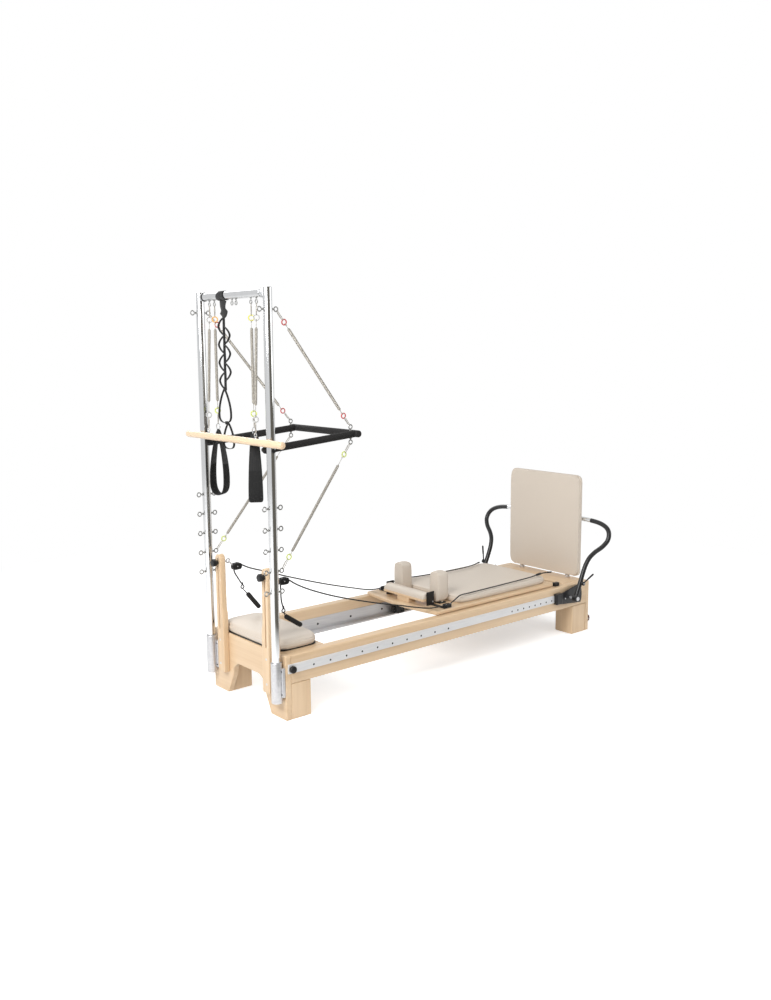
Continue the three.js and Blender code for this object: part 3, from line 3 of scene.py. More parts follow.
import bpy
import numpy as np
from mathutils import Matrix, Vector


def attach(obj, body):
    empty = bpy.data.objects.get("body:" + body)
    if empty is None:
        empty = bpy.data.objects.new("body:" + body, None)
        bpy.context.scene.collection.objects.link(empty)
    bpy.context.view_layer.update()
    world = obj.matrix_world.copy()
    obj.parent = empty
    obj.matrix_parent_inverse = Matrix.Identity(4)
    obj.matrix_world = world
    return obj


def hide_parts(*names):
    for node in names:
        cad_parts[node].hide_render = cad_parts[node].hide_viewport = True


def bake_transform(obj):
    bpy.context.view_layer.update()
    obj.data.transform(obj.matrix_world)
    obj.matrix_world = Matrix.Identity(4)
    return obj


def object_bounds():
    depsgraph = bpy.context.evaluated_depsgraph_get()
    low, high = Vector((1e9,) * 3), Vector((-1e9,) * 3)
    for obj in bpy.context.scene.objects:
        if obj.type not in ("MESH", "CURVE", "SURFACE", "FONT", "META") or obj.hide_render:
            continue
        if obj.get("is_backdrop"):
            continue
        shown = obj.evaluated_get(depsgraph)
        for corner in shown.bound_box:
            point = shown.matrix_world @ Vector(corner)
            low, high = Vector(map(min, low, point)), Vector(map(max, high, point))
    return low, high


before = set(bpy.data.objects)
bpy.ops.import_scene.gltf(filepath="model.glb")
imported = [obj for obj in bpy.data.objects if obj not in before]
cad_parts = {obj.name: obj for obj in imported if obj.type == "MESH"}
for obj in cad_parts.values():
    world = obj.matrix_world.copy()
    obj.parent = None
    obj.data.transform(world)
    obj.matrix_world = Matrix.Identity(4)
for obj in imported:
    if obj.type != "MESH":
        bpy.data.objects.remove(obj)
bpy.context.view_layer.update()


# The view. The unit is seen from its tower end, a little above the carriage, with the whole
# tower in the picture. The floor is plain and pale and the room round it white.
def unit(vectors):
    """Vectors divided by their lengths."""
    return vectors / np.linalg.norm(vectors, axis=-1, keepdims=True)


def stand(name, data, spot, across, up, back):
    """An object at a spot, turned so that its own axes point across, up and back."""
    made = bpy.data.objects.new(name, data)
    bpy.context.scene.collection.objects.link(made)
    place = np.eye(4)
    place[:3] = np.stack([across, up, back, spot], axis=1)
    made.matrix_world = Matrix(place.tolist())
    return made


yaw, pitch, roll = np.radians([49.2581, -8.3713, -0.2839])
forward = np.array([math.cos(yaw) * math.cos(pitch), math.sin(yaw) * math.cos(pitch), math.sin(pitch)])
level = np.array([math.sin(yaw), -math.cos(yaw), 0.0])
above = np.cross(level, forward)
lens = bpy.data.cameras.new("camera")
lens.lens = 34.733
lens.shift_x = -0.012788
lens.shift_y = -0.01153
lens.clip_end = 60
bpy.context.scene.camera = stand(
    "camera", lens, (-3.5826, -4.0189, 1.7707), level * math.cos(roll) + above * math.sin(roll),
    above * math.cos(roll) - level * math.sin(roll), -forward)
bpy.context.scene.view_settings.view_transform = "Standard"


def feed(tree, made, feeds):
    """Each input of a node, by its name or number, is linked to a node or a socket, or set."""
    for key, source in feeds.items():
        if isinstance(source, bpy.types.Node):
            source = source.outputs[0]
        if isinstance(source, bpy.types.NodeSocket):
            tree.links.new(source, made.inputs[key])
        else:
            made.inputs[key].default_value = source


def node(tree, kind, feeds=None, operation=None):
    """A shader node of a kind, with its operation and what feeds its inputs."""
    made = tree.nodes.new(f"ShaderNode{kind}")
    if operation:
        made.operation = operation
    feed(tree, made, feeds or {})
    return made


def new_material(name):
    """A material with nodes: the material, its tree and its surface shader."""
    made = bpy.data.materials.new(name)
    made.use_nodes = True
    return made, made.node_tree, made.node_tree.nodes["Principled BSDF"]


def span_node(tree, value, low, high):
    """0 at low, 1 at high and a straight, clamped change between them."""
    return node(tree, "MapRange", {0: value, "From Min": low, "From Max": high})


def mixed(tree, share, first, second):
    """Two shaders mixed by a share."""
    return node(tree, "MixShader", {0: share, 1: first, 2: second})


def room(tree, coordinates, spot, reach, plain, white, out):
    """The camera and glass see white, mirrors half white and half plain, and every other ray
    plain. Mirrors also see a dark screen beside the camera: a sector a reach away from a spot."""
    screen_way, screen_edges, screen_colour = (0.26, -0.966, 0), (0.60, 0.80), (0.14, 0.13, 0.11, 1)
    path = node(tree, "LightPath")
    where = node(tree, "TexCoord").outputs[coordinates]
    away = node(tree, "VectorMath", {0: where, 1: spot}, "SUBTRACT")
    flat = node(tree, "VectorMath", {0: away, 1: (1, 1, 0)}, "MULTIPLY")
    aim = node(tree, "VectorMath", {0: flat}, "NORMALIZE")
    toward_screen = node(tree, "VectorMath", {0: aim, 1: screen_way}, "DOT_PRODUCT")
    sector = span_node(tree, toward_screen.outputs["Value"], *screen_edges)
    if reach:
        length = node(tree, "VectorMath", {0: flat}, "LENGTH").outputs["Value"]
        far = span_node(tree, length, reach, 1.5 * reach)
        sector = node(tree, "Math", {0: sector, 1: far}, "MULTIPLY")
    mirror_ray = path.outputs["Is Glossy Ray"]
    sector = node(tree, "Math", {0: sector, 1: mirror_ray}, "MULTIPLY")
    dark = node(tree, "Emission", {"Color": screen_colour})
    direct, through_glass = path.outputs["Is Camera Ray"], path.outputs["Is Transmission Ray"]
    seen = node(tree, "Math", {0: direct, 1: through_glass}, "MAXIMUM")
    mirror = node(tree, "Math", {0: mirror_ray, 1: 0.5}, "MULTIPLY")
    seen = node(tree, "Math", {0: seen, 1: mirror}, "MAXIMUM")
    feed(tree, out, {0: mixed(tree, sector, mixed(tree, seen, plain, white), dark)})


pure_white = (1, 1, 1, 1)
world = bpy.data.worlds.new("studio")
bpy.context.scene.world = world
world.use_nodes = True
tree = world.node_tree
sky = tree.nodes["Background"]
feed(tree, sky, {"Color": pure_white, "Strength": 0.5})
white = node(tree, "Background", {"Color": pure_white})
room(tree, "Generated", (0, 0, 0), 0, sky, white, tree.nodes["World Output"])

floor_white, tree, shader = new_material("floor_white")
feed(tree, shader, {"Base Color": (0.9, 0.9, 0.9, 1), "Roughness": 0.8, "Specular IOR Level": 0.2})
lifted = node(tree, "AddShader", {0: shader, 1: node(tree, "Emission", {"Strength": 0.45})})
where = node(tree, "TexCoord").outputs["Object"]
out_from_unit = node(tree, "VectorMath", {0: where}, "LENGTH").outputs["Value"]
faded = mixed(tree, span_node(tree, out_from_unit, 1.9, 4.0), lifted, node(tree, "Emission"))
room(tree, "Object", (-1.15, 0, 0), 0.7, shader, faded, tree.nodes["Material Output"])
mesh = bpy.data.meshes.new("floor")
mesh.from_pydata([(-15, -15, 0), (15, -15, 0), (15, 15, 0), (-15, 15, 0)], [], [(0, 1, 2, 3)])
mesh.materials.append(floor_white)
stand("floor", mesh, (0, 0, 0), (1, 0, 0), (0, 1, 0), (0, 0, 1))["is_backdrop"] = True


def lamp(name, spot, target, size, power):
    """A square soft light at spot that looks at target."""
    data = bpy.data.lights.new(name, "AREA")
    data.size = size
    data.energy = power
    aim = unit(np.subtract(target, spot))
    side = unit(np.cross(aim, (0, 0, 1)))
    stand(name, data, spot, side, np.cross(side, aim), -aim)


lamp("key_light", (-4.2, -1.6, 3.6), (0, 0, 0.5), 2.4, 190)
lamp("fill_light", (3.0, -3.8, 3.0), (0, 0, 0.5), 3.0, 55)
lamp("back_light", (0.5, 4.2, 3.6), (0, 0, 0.6), 3.0, 70)


# The ropes. Two black braided ropes, 7 mm thick. Each leaves the ring of a hand loop, climbs
# over its sheave, runs through the cleat beside the headrest and lies over the carriage pad.
def at(points):
    """Every piece is measured in metres from the tower end, which stands 1.118 m from the part's
    origin. These are its points in the part's own frame."""
    return np.asarray(points, float) - (1.118, 0, 0)


def distance_along(points, power=1.0):
    """The sum of the steps up to each point, with each step's length raised to a power."""
    steps = np.linalg.norm(np.diff(points, axis=0), axis=1) ** power
    return np.concatenate([[0], np.cumsum(steps)])


def smooth_path(points, steps):
    """A Catmull-Rom curve through the points, evenly sampled. Its knots are the sums of the square
    roots of the steps, and each stretch blends the lines through its four nearest points in pairs:
    three lines, then two, then one."""
    p = np.asarray(points, float)
    p = np.vstack([2 * p[0] - p[1], p, 2 * p[-1] - p[-2]])
    knots = distance_along(p, 0.5)
    t = np.linspace(knots[1], knots[-2], steps * 8)
    k = np.clip(np.searchsorted(knots, t, side="right") - 1, 1, len(p) - 3)
    t = t[:, None]
    t0, t1, t2, t3 = (knots[k + i][:, None] for i in (-1, 0, 1, 2))
    p0, p1, p2, p3 = (p[k + i] for i in (-1, 0, 1, 2))
    a1 = ((t1 - t) * p0 + (t - t0) * p1) / (t1 - t0)
    a2 = ((t2 - t) * p1 + (t - t1) * p2) / (t2 - t1)
    a3 = ((t3 - t) * p2 + (t - t2) * p3) / (t3 - t2)
    b1 = ((t2 - t) * a1 + (t - t0) * a2) / (t2 - t0)
    b2 = ((t3 - t) * a2 + (t - t1) * a3) / (t3 - t1)
    fine = ((t2 - t) * b1 + (t - t1) * b2) / (t2 - t1)
    run = distance_along(fine)
    even = np.linspace(0, run[-1], steps)
    return np.stack([np.interp(even, run, values) for values in fine.T], axis=1)


def circle(radius, sides):
    """Points of a circle: the radius times the cosine and sine of even turns."""
    turn = np.linspace(0, 2 * np.pi, sides, endpoint=False)
    return radius * np.stack([np.cos(turn), np.sin(turn)], axis=1)


def sweep(path, section, across=(0, 1, 0), closed=False):
    """A section carried along a path: its first number is measured square to the path and to
    across, its second along across as far as the path allows. Returns rows by columns."""
    path, section = np.asarray(path, float), np.asarray(section, float)
    if closed:
        along = unit(np.roll(path, -1, axis=0) - np.roll(path, 1, axis=0))
    else:
        along = unit(np.gradient(path, axis=0))
    first = unit(np.cross(along, np.broadcast_to(np.asarray(across, float), along.shape)))
    second = np.cross(first, along)
    return path[:, None] + first[:, None] * section[..., :1] + second[:, None] * section[..., 1:]


def turned(start, axis, profile, sides):
    """A turned shape: a circle of the profile's radius at each of its distances along an axis."""
    axis = unit(np.asarray(axis, float))
    away = unit(np.cross(axis, (0.31, 0.52, 0.79)))
    reach, radius = np.asarray(profile, float).T
    flat = circle(1, sides)
    around = flat[:, :1] * away + flat[:, 1:] * np.cross(axis, away)
    return np.asarray(start, float) + reach[:, None, None] * axis + radius[:, None, None] * around


def skin_faces(grid, closed):
    """The faces, map and flat ends of a skin. Faces join neighbouring points of its grid, and are
    turned over where the volume under them is negative, so that they look outwards. The map holds
    the share of the way round and the metres along."""
    rows, columns = grid.shape[:2]
    r, c = np.indices((rows if closed else rows - 1, columns)).reshape(2, -1)
    r2, c2 = (r + 1) % rows, (c + 1) % columns
    faces = np.stack([r * columns + c, r * columns + c2, r2 * columns + c2, r2 * columns + c], axis=1)
    run = distance_along(np.vstack([grid.mean(axis=1), grid[:1].mean(axis=1)]))
    share = np.stack([c, c + 1, c + 1, c], axis=1) / columns
    mapped = np.stack([share, run[np.stack([r, r, r + 1, r + 1], axis=1)]], axis=2)
    last = (rows - 1) * columns
    ends = [] if closed else [np.arange(columns)[::-1], np.arange(last, last + columns)]
    flat = grid.reshape(-1, 3) - grid[0, 0]
    fans = [flat[faces]] + [flat[end][None] for end in ends]
    if sum(np.sum(q[:, :1] * np.cross(q[:, 1:-1], q[:, 2:])) for q in fans) < 0:
        faces, mapped, ends = faces[:, ::-1], mapped[:, ::-1], [end[::-1] for end in ends]
    return faces, mapped.reshape(-1, 2), ends


def piece(name, skins, materials, body, node_name=None, edge=34):
    """One mesh of several closed skins. A skin is a grid and the number of its material, with
    True after them where its rows close up to a ring; any other gets flat ends."""
    points, quads, caps, marks, cap_marks, maps, base = [], [], [], [], [], [], 0
    for grid, mark, *joined in skins:
        faces, mapped, ends = skin_faces(grid, any(joined))
        points.append(grid.reshape(-1, 3))
        quads.append(faces + base)
        maps.append(mapped)
        marks.append(np.full(len(faces), mark))
        caps += [(end + base).tolist() for end in ends]
        cap_marks += [mark] * len(ends)
        base += len(points[-1])
    mesh = bpy.data.meshes.new(name)
    mesh.from_pydata(at(np.vstack(points)).tolist(), [], np.vstack(quads).tolist() + caps)
    for one in materials:
        mesh.materials.append(one)
    mesh.polygons.foreach_set("material_index", np.concatenate([*marks, cap_marks]).astype(np.int32))
    layer = mesh.uv_layers.new(name="UVMap")
    mapped = np.zeros((len(layer.data), 2), np.float32)
    mapped[:4 * sum(map(len, quads))] = np.vstack(maps)
    layer.data.foreach_set("uv", mapped.ravel())
    mesh.shade_smooth()
    mesh.set_sharp_from_angle(angle=math.radians(edge))
    made = bpy.data.objects.new(name, mesh)
    bpy.context.scene.collection.objects.link(made)
    if body:
        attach(made, body)
    if node_name:
        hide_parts(node_name)
    return made


def ramp(tree, share, dark, light, low=0.0, high=1.0):
    """A colour that changes from dark where a share is low to light where it is high."""
    made = node(tree, "ValToRGB", {0: share})
    for stop, spot, colour in zip(made.color_ramp.elements, (low, high), (dark, light)):
        stop.position = spot
        stop.color = (*colour, 1)
    return made


def relief(tree, height, distance, strength=1.0):
    """The surface tilted as if the height stood out by up to a distance."""
    return node(tree, "Bump", {"Height": height, "Distance": distance, "Strength": strength})


def worn(name, light, dark, rough, scale, bump, metal=0.0, stretch=(1, 1, 1), spread=0.06):
    """A surface whose colour, roughness and height follow one noise on the object's own
    coordinates, drawn out along an axis by stretch."""
    made, tree, shader = new_material(name)
    where = node(tree, "Mapping", {0: node(tree, "TexCoord").outputs["Object"], "Scale": stretch})
    noise = node(tree, "TexNoise", {"Vector": where, "Scale": scale, "Detail": 5})
    shine = node(tree, "MapRange", {0: noise, "To Min": rough + spread, "To Max": max(0.02, rough - spread)})
    feed(tree, shader, {"Base Color": ramp(tree, noise, dark, light, 0.3, 0.7), "Roughness": shine,
                        "Normal": relief(tree, noise, bump), "Metallic": metal})
    return made


def woven(name, light, dark, turns, pitch, bump=0.0004, rough=0.85):
    """Yarns on the piece's own map: two waves cross, one every pitch metres along and one by the
    turns round, and their product gives the colour and the height."""
    made, tree, shader = new_material(name)
    parts = node(tree, "SeparateXYZ", {0: node(tree, "UVMap")})
    waves = []
    for sign in (1, -1):
        around = node(tree, "Math", {0: parts, 1: sign * turns * 2 * math.pi}, "MULTIPLY")
        along = node(tree, "Math", {0: parts.outputs[1], 1: 2 * math.pi / pitch, 2: around}, "MULTIPLY_ADD")
        waves.append(node(tree, "Math", {0: along}, "SINE"))
    lift = span_node(tree, node(tree, "Math", {0: waves[0], 1: waves[1]}, "MULTIPLY"), -1, 1)
    feed(tree, shader, {"Base Color": ramp(tree, lift, dark, light), "Normal": relief(tree, lift, bump),
                        "Roughness": rough, "Sheen Weight": 0.15})
    return made


sides = (("right", -1), ("left", 1))
braid = woven("braided_rope", (0.022, 0.022, 0.023), (0.006, 0.006, 0.006), 4, 0.009)
black_plastic = worn("black_plastic", (0.012, 0.012, 0.013), (0.007, 0.007, 0.008), 0.42, 260, 0.00004)
sheave_spot, sheave_height, rope_radius, wrap_radius = 0.078, 0.654, 0.0035, 0.0176
riser_way, deck_front, deck_high, guide_way = 0.215, 1.010, 0.343, 0.268
# On the deck: back from its front edge, inwards from the guide, up from the deck
rope_on_deck = {
    "right": [
        (0.978, 0.018, 0.057), (0.930, 0.030, 0.056), (0.820, 0.018, 0.053), (0.630, 0.014, 0.051),
        (0.430, 0.010, 0.050), (0.280, 0.006, 0.050), (0.212, 0.004, 0.049), (0.170, 0, 0.034),
        (0.130, 0, 0.017), (0.090, 0, 0.015), (0.040, 0.001, 0.014),
    ],
    "left": [
        (0.858, 0.035, 0.053), (0.780, 0.062, 0.054), (0.678, 0.078, 0.055), (0.580, 0.078, 0.055),
        (0.487, 0.072, 0.055), (0.390, 0.060, 0.054), (0.290, 0.040, 0.053), (0.222, 0.016, 0.051),
        (0.175, 0.002, 0.036), (0.130, 0, 0.017), (0.090, 0, 0.015), (0.040, 0.001, 0.014),
    ],
}
# In the air: the share of the way from the deck to the sheave, and the sag as a share of its rise
rope_sags = {
    "right": [(0.072, 0.054), (0.189, 0.082), (0.289, 0.092), (0.439, 0.115), (0.608, 0.122),
              (0.770, 0.109), (0.926, 0.055)],
    "left": [(0.074, 0.042), (0.211, 0.061), (0.353, 0.070), (0.483, 0.070), (0.614, 0.060),
             (0.744, 0.045), (0.863, 0.021)],
}
# Before and below the sheave: along and up from its middle
rope_meets = {"right": (0.072, -0.027), "left": (0.072, -0.018)}
rope_falls = {
    "right": [(-0.017, -0.048), (-0.015, -0.094), (-0.008, -0.122), (-0.004, -0.134)],
    "left": [(-0.012, -0.032), (0.002, -0.056), (0.019, -0.084), (0.032, -0.102)],
}
rope_wrap = [(wrap_radius * math.cos(turn), wrap_radius * math.sin(turn))
             for turn in (0.95, 1.4, 1.95, 2.5, 3.05)]
rope_ends, lock_spot = {}, 1.910
for side, way in sides:
    deck_run = np.array([(deck_front + back, way * (guide_way - inward), deck_high + up)
                         for back, inward, up in rope_on_deck[side]])
    drop = np.array([(sheave_spot + along, way * riser_way, sheave_height + up)
                     for along, up in [rope_meets[side], *rope_wrap, *rope_falls[side]]])
    share, sag = np.array(rope_sags[side]).T
    air = deck_run[-1] + (drop[0] - deck_run[-1]) * np.stack([share, share, share - sag], axis=1)
    rope_ends[side] = drop[-1]
    line = smooth_path(np.vstack([deck_run, air, drop])[::-1], 440)
    rope = piece(f"rope_line_{side}", [(sweep(line, circle(rope_radius, 10)), 0)], [braid], None,
                 f"rope_{side}")
    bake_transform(rope)
    tail = line[-1] - line[-4]
    ends = [(turned(line[-1] - tail * 0.4, tail, [
        (0, 0.0037), (0.001, 0.0046), (0.026, 0.0046), (0.0295, 0.0038), (0.031, 0.002)], 16), 0)]
    if side == "right":
        near = int(np.argmin(np.abs(line[:, 0] - lock_spot) + 9 * (line[:, 2] < 0.38)))
        lock = unit(line[near + 5] - line[near - 5])
        ends.append((turned(line[near] - lock * 0.025, lock, [
            (0, 0.0040), (0.001, 0.0058), (0.004, 0.0066), (0.020, 0.0070), (0.021, 0.0062), (0.024, 0.0062),
            (0.025, 0.0070), (0.046, 0.0066), (0.049, 0.0056), (0.050, 0.0040)], 20), 0))
    tip = piece(f"rope_tip_{side}", ends, [black_plastic], "carriage")


# Wood. Pale maple, clear-lacquered: long fine streaks along the grain, a slow change of tone
# from board to board and shallow pores. The grain runs along each part's length.
def wood(name, along, light=(0.79, 0.60, 0.40), dark=(0.66, 0.465, 0.28)):
    """Wood with its grain along an axis: two noises drawn out along it, one broad and one fine."""
    made, tree, shader = new_material(name)
    where = node(tree, "TexCoord").outputs["Object"]
    noises = []
    for scale, share, detail in ((7, 0.10, 4), (55, 0.035, 8)):
        stretch = [share if i == along else 1.0 for i in range(3)]
        drawn = node(tree, "Mapping", {0: where, "Scale": stretch})
        noises.append(node(tree, "TexNoise", {"Vector": drawn, "Scale": scale, "Detail": detail,
                                              "Distortion": 0.35}))
    broad, fine = noises
    tone = span_node(tree, node(tree, "Math", {0: broad, 1: fine}, "ADD"), 0.6, 1.4)
    shine = node(tree, "MapRange", {0: tone, "To Min": 0.42, "To Max": 0.30})
    feed(tree, shader, {"Base Color": ramp(tree, tone, dark, light), "Roughness": shine,
                        "Normal": relief(tree, fine, 0.00018, 0.6), "Coat Weight": 0.25,
                        "Coat Roughness": 0.25})
    return made


maple_x, maple_y, maple_z = (wood(f"maple_{axis}", i) for i, axis in enumerate("xyz"))


def filleted(corners, radii, steps=6, hold=0.0008):
    """A closed outline whose corners are replaced by arcs, each a quadratic curve from one side
    to the next, with a point held a little before and after it so that flats stay flat."""
    corners = np.asarray(corners, float)
    to_next = unit(np.roll(corners, -1, axis=0) - corners)
    to_last = -np.roll(to_next, 1, axis=0)
    t = np.linspace(0, 1, steps + 1)[None, :, None]
    r = np.broadcast_to(radii, len(corners))[:, None, None]
    here, back, on = corners[:, None], to_last[:, None], to_next[:, None]
    arc = (1 - t) ** 2 * (here + r * back) + 2 * t * (1 - t) * here + t ** 2 * (here + r * on)
    return np.concatenate([here + (r + hold) * back, arc, here + (r + hold) * on], axis=1).reshape(-1, 2)


def inset(outline, amount):
    """The outline moved inwards along the mean of its two side normals at each point."""
    side = np.roll(outline, -1, axis=0) - outline
    side /= np.maximum(np.linalg.norm(side, axis=1, keepdims=True), 1e-12)
    area = np.sum(outline[:, 0] * np.roll(outline[:, 1], -1) - np.roll(outline[:, 0], -1) * outline[:, 1])
    normal = np.stack([-side[:, 1], side[:, 0]], axis=1) * np.sign(area)
    mean = normal + np.roll(normal, 1, axis=0)
    mean /= np.maximum(np.sum(mean * mean, axis=1, keepdims=True) / 2, 0.3)
    return outline + amount * mean


def upright(flat, level, axis):
    """Flat points set at a level along an axis, their two numbers on the other two axes."""
    return np.insert(np.asarray(flat, float), "xyz".index(axis), level, axis=1)


def slab(outline, low, high, edge, axis, hold=0.0008):
    """A board: an outline carried between two levels, its edges rounded to a quarter circle."""
    low, high = sorted((low, high))
    t = np.radians([0, 22.5, 45, 67.5, 90])
    rounding = zip(low + edge * (1 - np.cos(t)), edge * (1 - np.sin(t)))
    steps = [(low, edge + hold), *rounding, (low + edge + hold, 0)]
    steps += [(low + high - a, b) for a, b in steps[::-1]]
    return np.stack([upright(inset(outline, b), a, axis) for a, b in steps])


def rectangle(a, b):
    """The corners of a rectangle between two opposite ones, in their order round it."""
    (x0, y0), (x1, y1) = np.sort([a, b], axis=0)
    return [(x0, y0), (x1, y0), (x1, y1), (x0, y1)]


def block(a, b, edge=0.002, corner=0.0):
    """A box between two opposite corners, its upright edges rounded by corner and the rest by
    edge; an upright edge is never so sharp that the rounded rows cross."""
    a, b = np.asarray(a, float), np.asarray(b, float)
    outline = filleted(rectangle(a[:2], b[:2]), max(corner, 1.5 * edge + 0.0012), 4)
    return slab(outline, a[2], b[2], edge, "z")


# End frames. An arched maple board, 30 mm thick, glued to two legs; the corners are rounded.
# A shelf carries the platform cushion at the tower end, a cross board ties the foot end.
outer_face, inner_face, rail_top, rail_bottom, board_thick = 0.335, 0.280, 0.320, 0.178, 0.030
tie_half, leg_inner, leg_outer, glide_in = inner_face - 0.0008, 0.2004, outer_face - 0.0006, 0.008
arch_side = np.array([(outer_face, rail_top), (outer_face, 0), (0.200, 0), (0.146, 0.109), (0.138, 0.150),
                      (0.102, 0.176)])
arch_radii = [0.010, 0.008, 0.005, 0.02, 0.012, 0.02]
arch = filleted(np.vstack([arch_side, arch_side[::-1] * (-1, 1)]), arch_radii + arch_radii[::-1])
for name, node_name, start, (leg_start, leg_end), (tie_start, tie_end), tie_low, tie_edge in (
        ("end_frame_tower", "head_frame", 0.0, (0.0292, 0.146), (0.0292, 0.2618), 0.300, 0.002),
        ("end_frame_foot", "foot_frame", 2.250, (2.121, 2.2508), (2.085, 2.2508), 0.290, 0.004)):
    skins = [(slab(arch, start, start + board_thick, 0.004, "x"), 0)]
    for way in (-1, 1):
        skins += [
            (block((leg_start, way * leg_inner, 0.0006), (leg_end, way * leg_outer, 0.1775), 0.004,
                   0.009), 1),
            (block((leg_start + glide_in, way * (leg_inner + glide_in), 0),
                   (leg_end - 0.010, way * (leg_outer - glide_in), 0.002), 0.0005), 3)]
    skins.append((block((tie_start, -tie_half, tie_low), (tie_end, tie_half, rail_top), tie_edge), 2))
    piece(name, skins, [maple_y, maple_z, maple_y, black_plastic], "frame", node_name)

# Rails. Two maple boards on edge, 55 mm by 142 mm, their long edges rounded to 9 mm. Each
# carries a black moulded stop for the carriage, screwed to its top near the foot end.
rail_start, rail_end = 0.0303, 2.2497
for side, way in sides:
    section = filleted(rectangle((way * outer_face, rail_bottom), (way * inner_face, rail_top)), 0.009)
    skins = [(slab(section, rail_start, rail_end, 0.001, "x"), 0),
             (block((1.9903, way * 0.2803, 0.3190), (2.0297, way * 0.3077, 0.3418), 0.003, 0.004), 1)]
    piece(f"rail_board_{side}", skins, [maple_x, black_plastic], "frame", f"rail_{side}")

# Outer tracks. White aluminium strips screwed to the rails, with two groups of adjustment holes:
# each hole is a length of the strip with a round way through it, between plain lengths.
# A near-black disc in each hole is painted shade, standing for the shadow deep in the hole, and a black star
# knob holds each strip at the tower end.
white_metal = worn("white_metal", (0.80, 0.80, 0.80), (0.74, 0.74, 0.75), 0.42, 90, 0.00005, 0.2, (0.1, 1, 1))
# Near-black: painted shade inside the holes of the strips, posts and foot-bar plates, and the real black of
# the runner screws.
hole_shade_and_screw_black = worn("hole_shade_and_screw_black", (0.02, 0.02, 0.02), (0.01, 0.01, 0.01), 0.8, 200, 0.00002)
hole_spots = [0.158 + 0.1 * i for i in range(10)] + [1.566 + 0.05 * i for i in range(8)]
hole_radius, hole_height, strip_low, strip_high, cell, cell_top = 0.0054, 0.251, 0.234, 0.279, 0.016, 0.2675
strip_start, strip_end = 0.010, 1.940


def holed(spot, near, far):
    """A length of the strip with a round way through it: its ring of points runs from the circle
    in front to the rectangle in front, to the rectangle behind and the circle behind."""
    above, below, lip = cell_top - hole_height, hole_height - strip_low, 0.0006
    turn = np.linspace(0, 2 * np.pi, 24, endpoint=False) + math.atan2(above, cell)
    c, s = np.cos(turn), np.sin(turn)
    reach = np.minimum(cell / np.maximum(np.abs(c), 1e-9),
                       np.where(s > 0, above, below) / np.maximum(np.abs(s), 1e-9))
    inward = np.sign(near - far) * lip
    rows = [(hole_radius + lip, near), (reach, near), (reach, far), (hole_radius + lip, far),
            (hole_radius, far + inward), (hole_radius, near - inward)]
    return np.stack([upright(np.stack([spot + r * c, hole_height + r * s], axis=1), y, "y") for r, y in rows])


for side, way in sides:
    near, far = way * 0.3433, way * 0.3353
    skins, start = [], strip_start
    for spot in hole_spots:
        plain = filleted(rectangle((start, strip_low), (spot - cell, cell_top)), 0.00006, 1, 0.00001)
        skins += [
            # The near-black disc: painted shade inside the hole.
            (turned((spot, way * 0.3412, hole_height), (0, way, 0), [
                (0, 0.0058), (0.0004, 0.0062), (0.0006, 0.0060)], 16), 1),
            (holed(spot, near, far), 0, True),
            (slab(plain, near, far, 0.00002, "y", 0.00001), 0)]
        start = spot + cell
    last = filleted(rectangle((start, strip_low), (strip_end, cell_top)), 0.0005, 1, 0.0001)
    upper = filleted(rectangle((strip_start, cell_top), (strip_end, strip_high)), 0.0015, 3)
    skins += [
        (slab(last, near, far, 0.0002, "y", 0.0001), 0),
        (slab(upper, near, far, 0.0009, "y", 0.0003), 0),
        (turned((0.028, way * 0.3430, 0.256), (0, way, 0), [
            (0, 0.0085), (0.0045, 0.0085), (0.0050, 0.0150), (0.0065, 0.0175), (0.0180, 0.0175),
            (0.0205, 0.0160), (0.0216, 0.0115)], 30), 2)]
    piece(f"track_strip_{side}", skins, [white_metal, hole_shade_and_screw_black, black_plastic], "frame",
          f"outer_track_{side}", 25)

# Runners. Satin aluminium angles inside the rails that the carriage wheels roll on, held by
# black screws 235 mm apart.
satin = worn("satin_metal", (0.72, 0.72, 0.73), (0.62, 0.62, 0.64), 0.40, 120, 0.00004, 0.7, (0.06, 1, 1))
wall = inner_face - 0.0003
angle = np.array([(0, 0.184), (0, 0.263), (0.0034, 0.263), (0.0034, 0.188), (0.0366, 0.188), (0.0366, 0.193),
                  (0.040, 0.193), (0.040, 0.184)])
for side, way in sides:
    section = filleted(angle * (-way, 1) + (way * wall, 0), 0.0012, 3, 0.0002)
    skins = [(slab(section, rail_start, rail_end, 0.0004, "x", 0.0002), 0)]
    for x in 0.161 + 0.235 * np.arange(9):
        skins.append((turned((x, way * (wall - 0.0030), 0.225), (0, -way, 0), [
            (0, 0.0066), (0.0014, 0.0064), (0.0022, 0.0046)], 14), 1))
    piece(f"runner_angle_{side}", skins, [satin, hole_shade_and_screw_black], "frame", f"runner_{side}")

# Tower posts. Polished steel tubes with domed ends, each carrying six eye bolts on either side
# that pass through the tube, a few small holes drawn as near-black discs of painted shade, and the pivot of
# the push-through bar.
chrome = worn("polished_steel", (0.83, 0.84, 0.85), (0.78, 0.79, 0.80), 0.11, 30, 0.00001, 1.0,
              (1, 1, 0.08), 0.03)
wire_steel = worn("wire_steel", (0.40, 0.40, 0.39), (0.30, 0.30, 0.29), 0.36, 150, 0.00001, 0.7)
post_spot, post_way, post_low, post_radius, pivot_height = -0.032, 0.302, 0.095, 0.021, 1.300
eye_heights = [0.632 + 0.1 * i for i in range(5)] + [1.940]
big_eye, small_eye = (0.0105, 0.003), (0.009, 0.0024)


def ring(centre, radius, wire, hole, steps=16, sides=6):
    """A closed ring of wire round a centre, its hole looking along the axis hole."""
    path = upright(circle(radius, steps), 0.0, hole) + np.asarray(centre, float)
    return sweep(path, circle(wire, sides), [float(hole == a) for a in "xyz"], closed=True)


def capped(end, span):
    """A turned profile with the same points at both ends of its span."""
    return [*end, *((span - reach, radius) for reach, radius in end[::-1])]


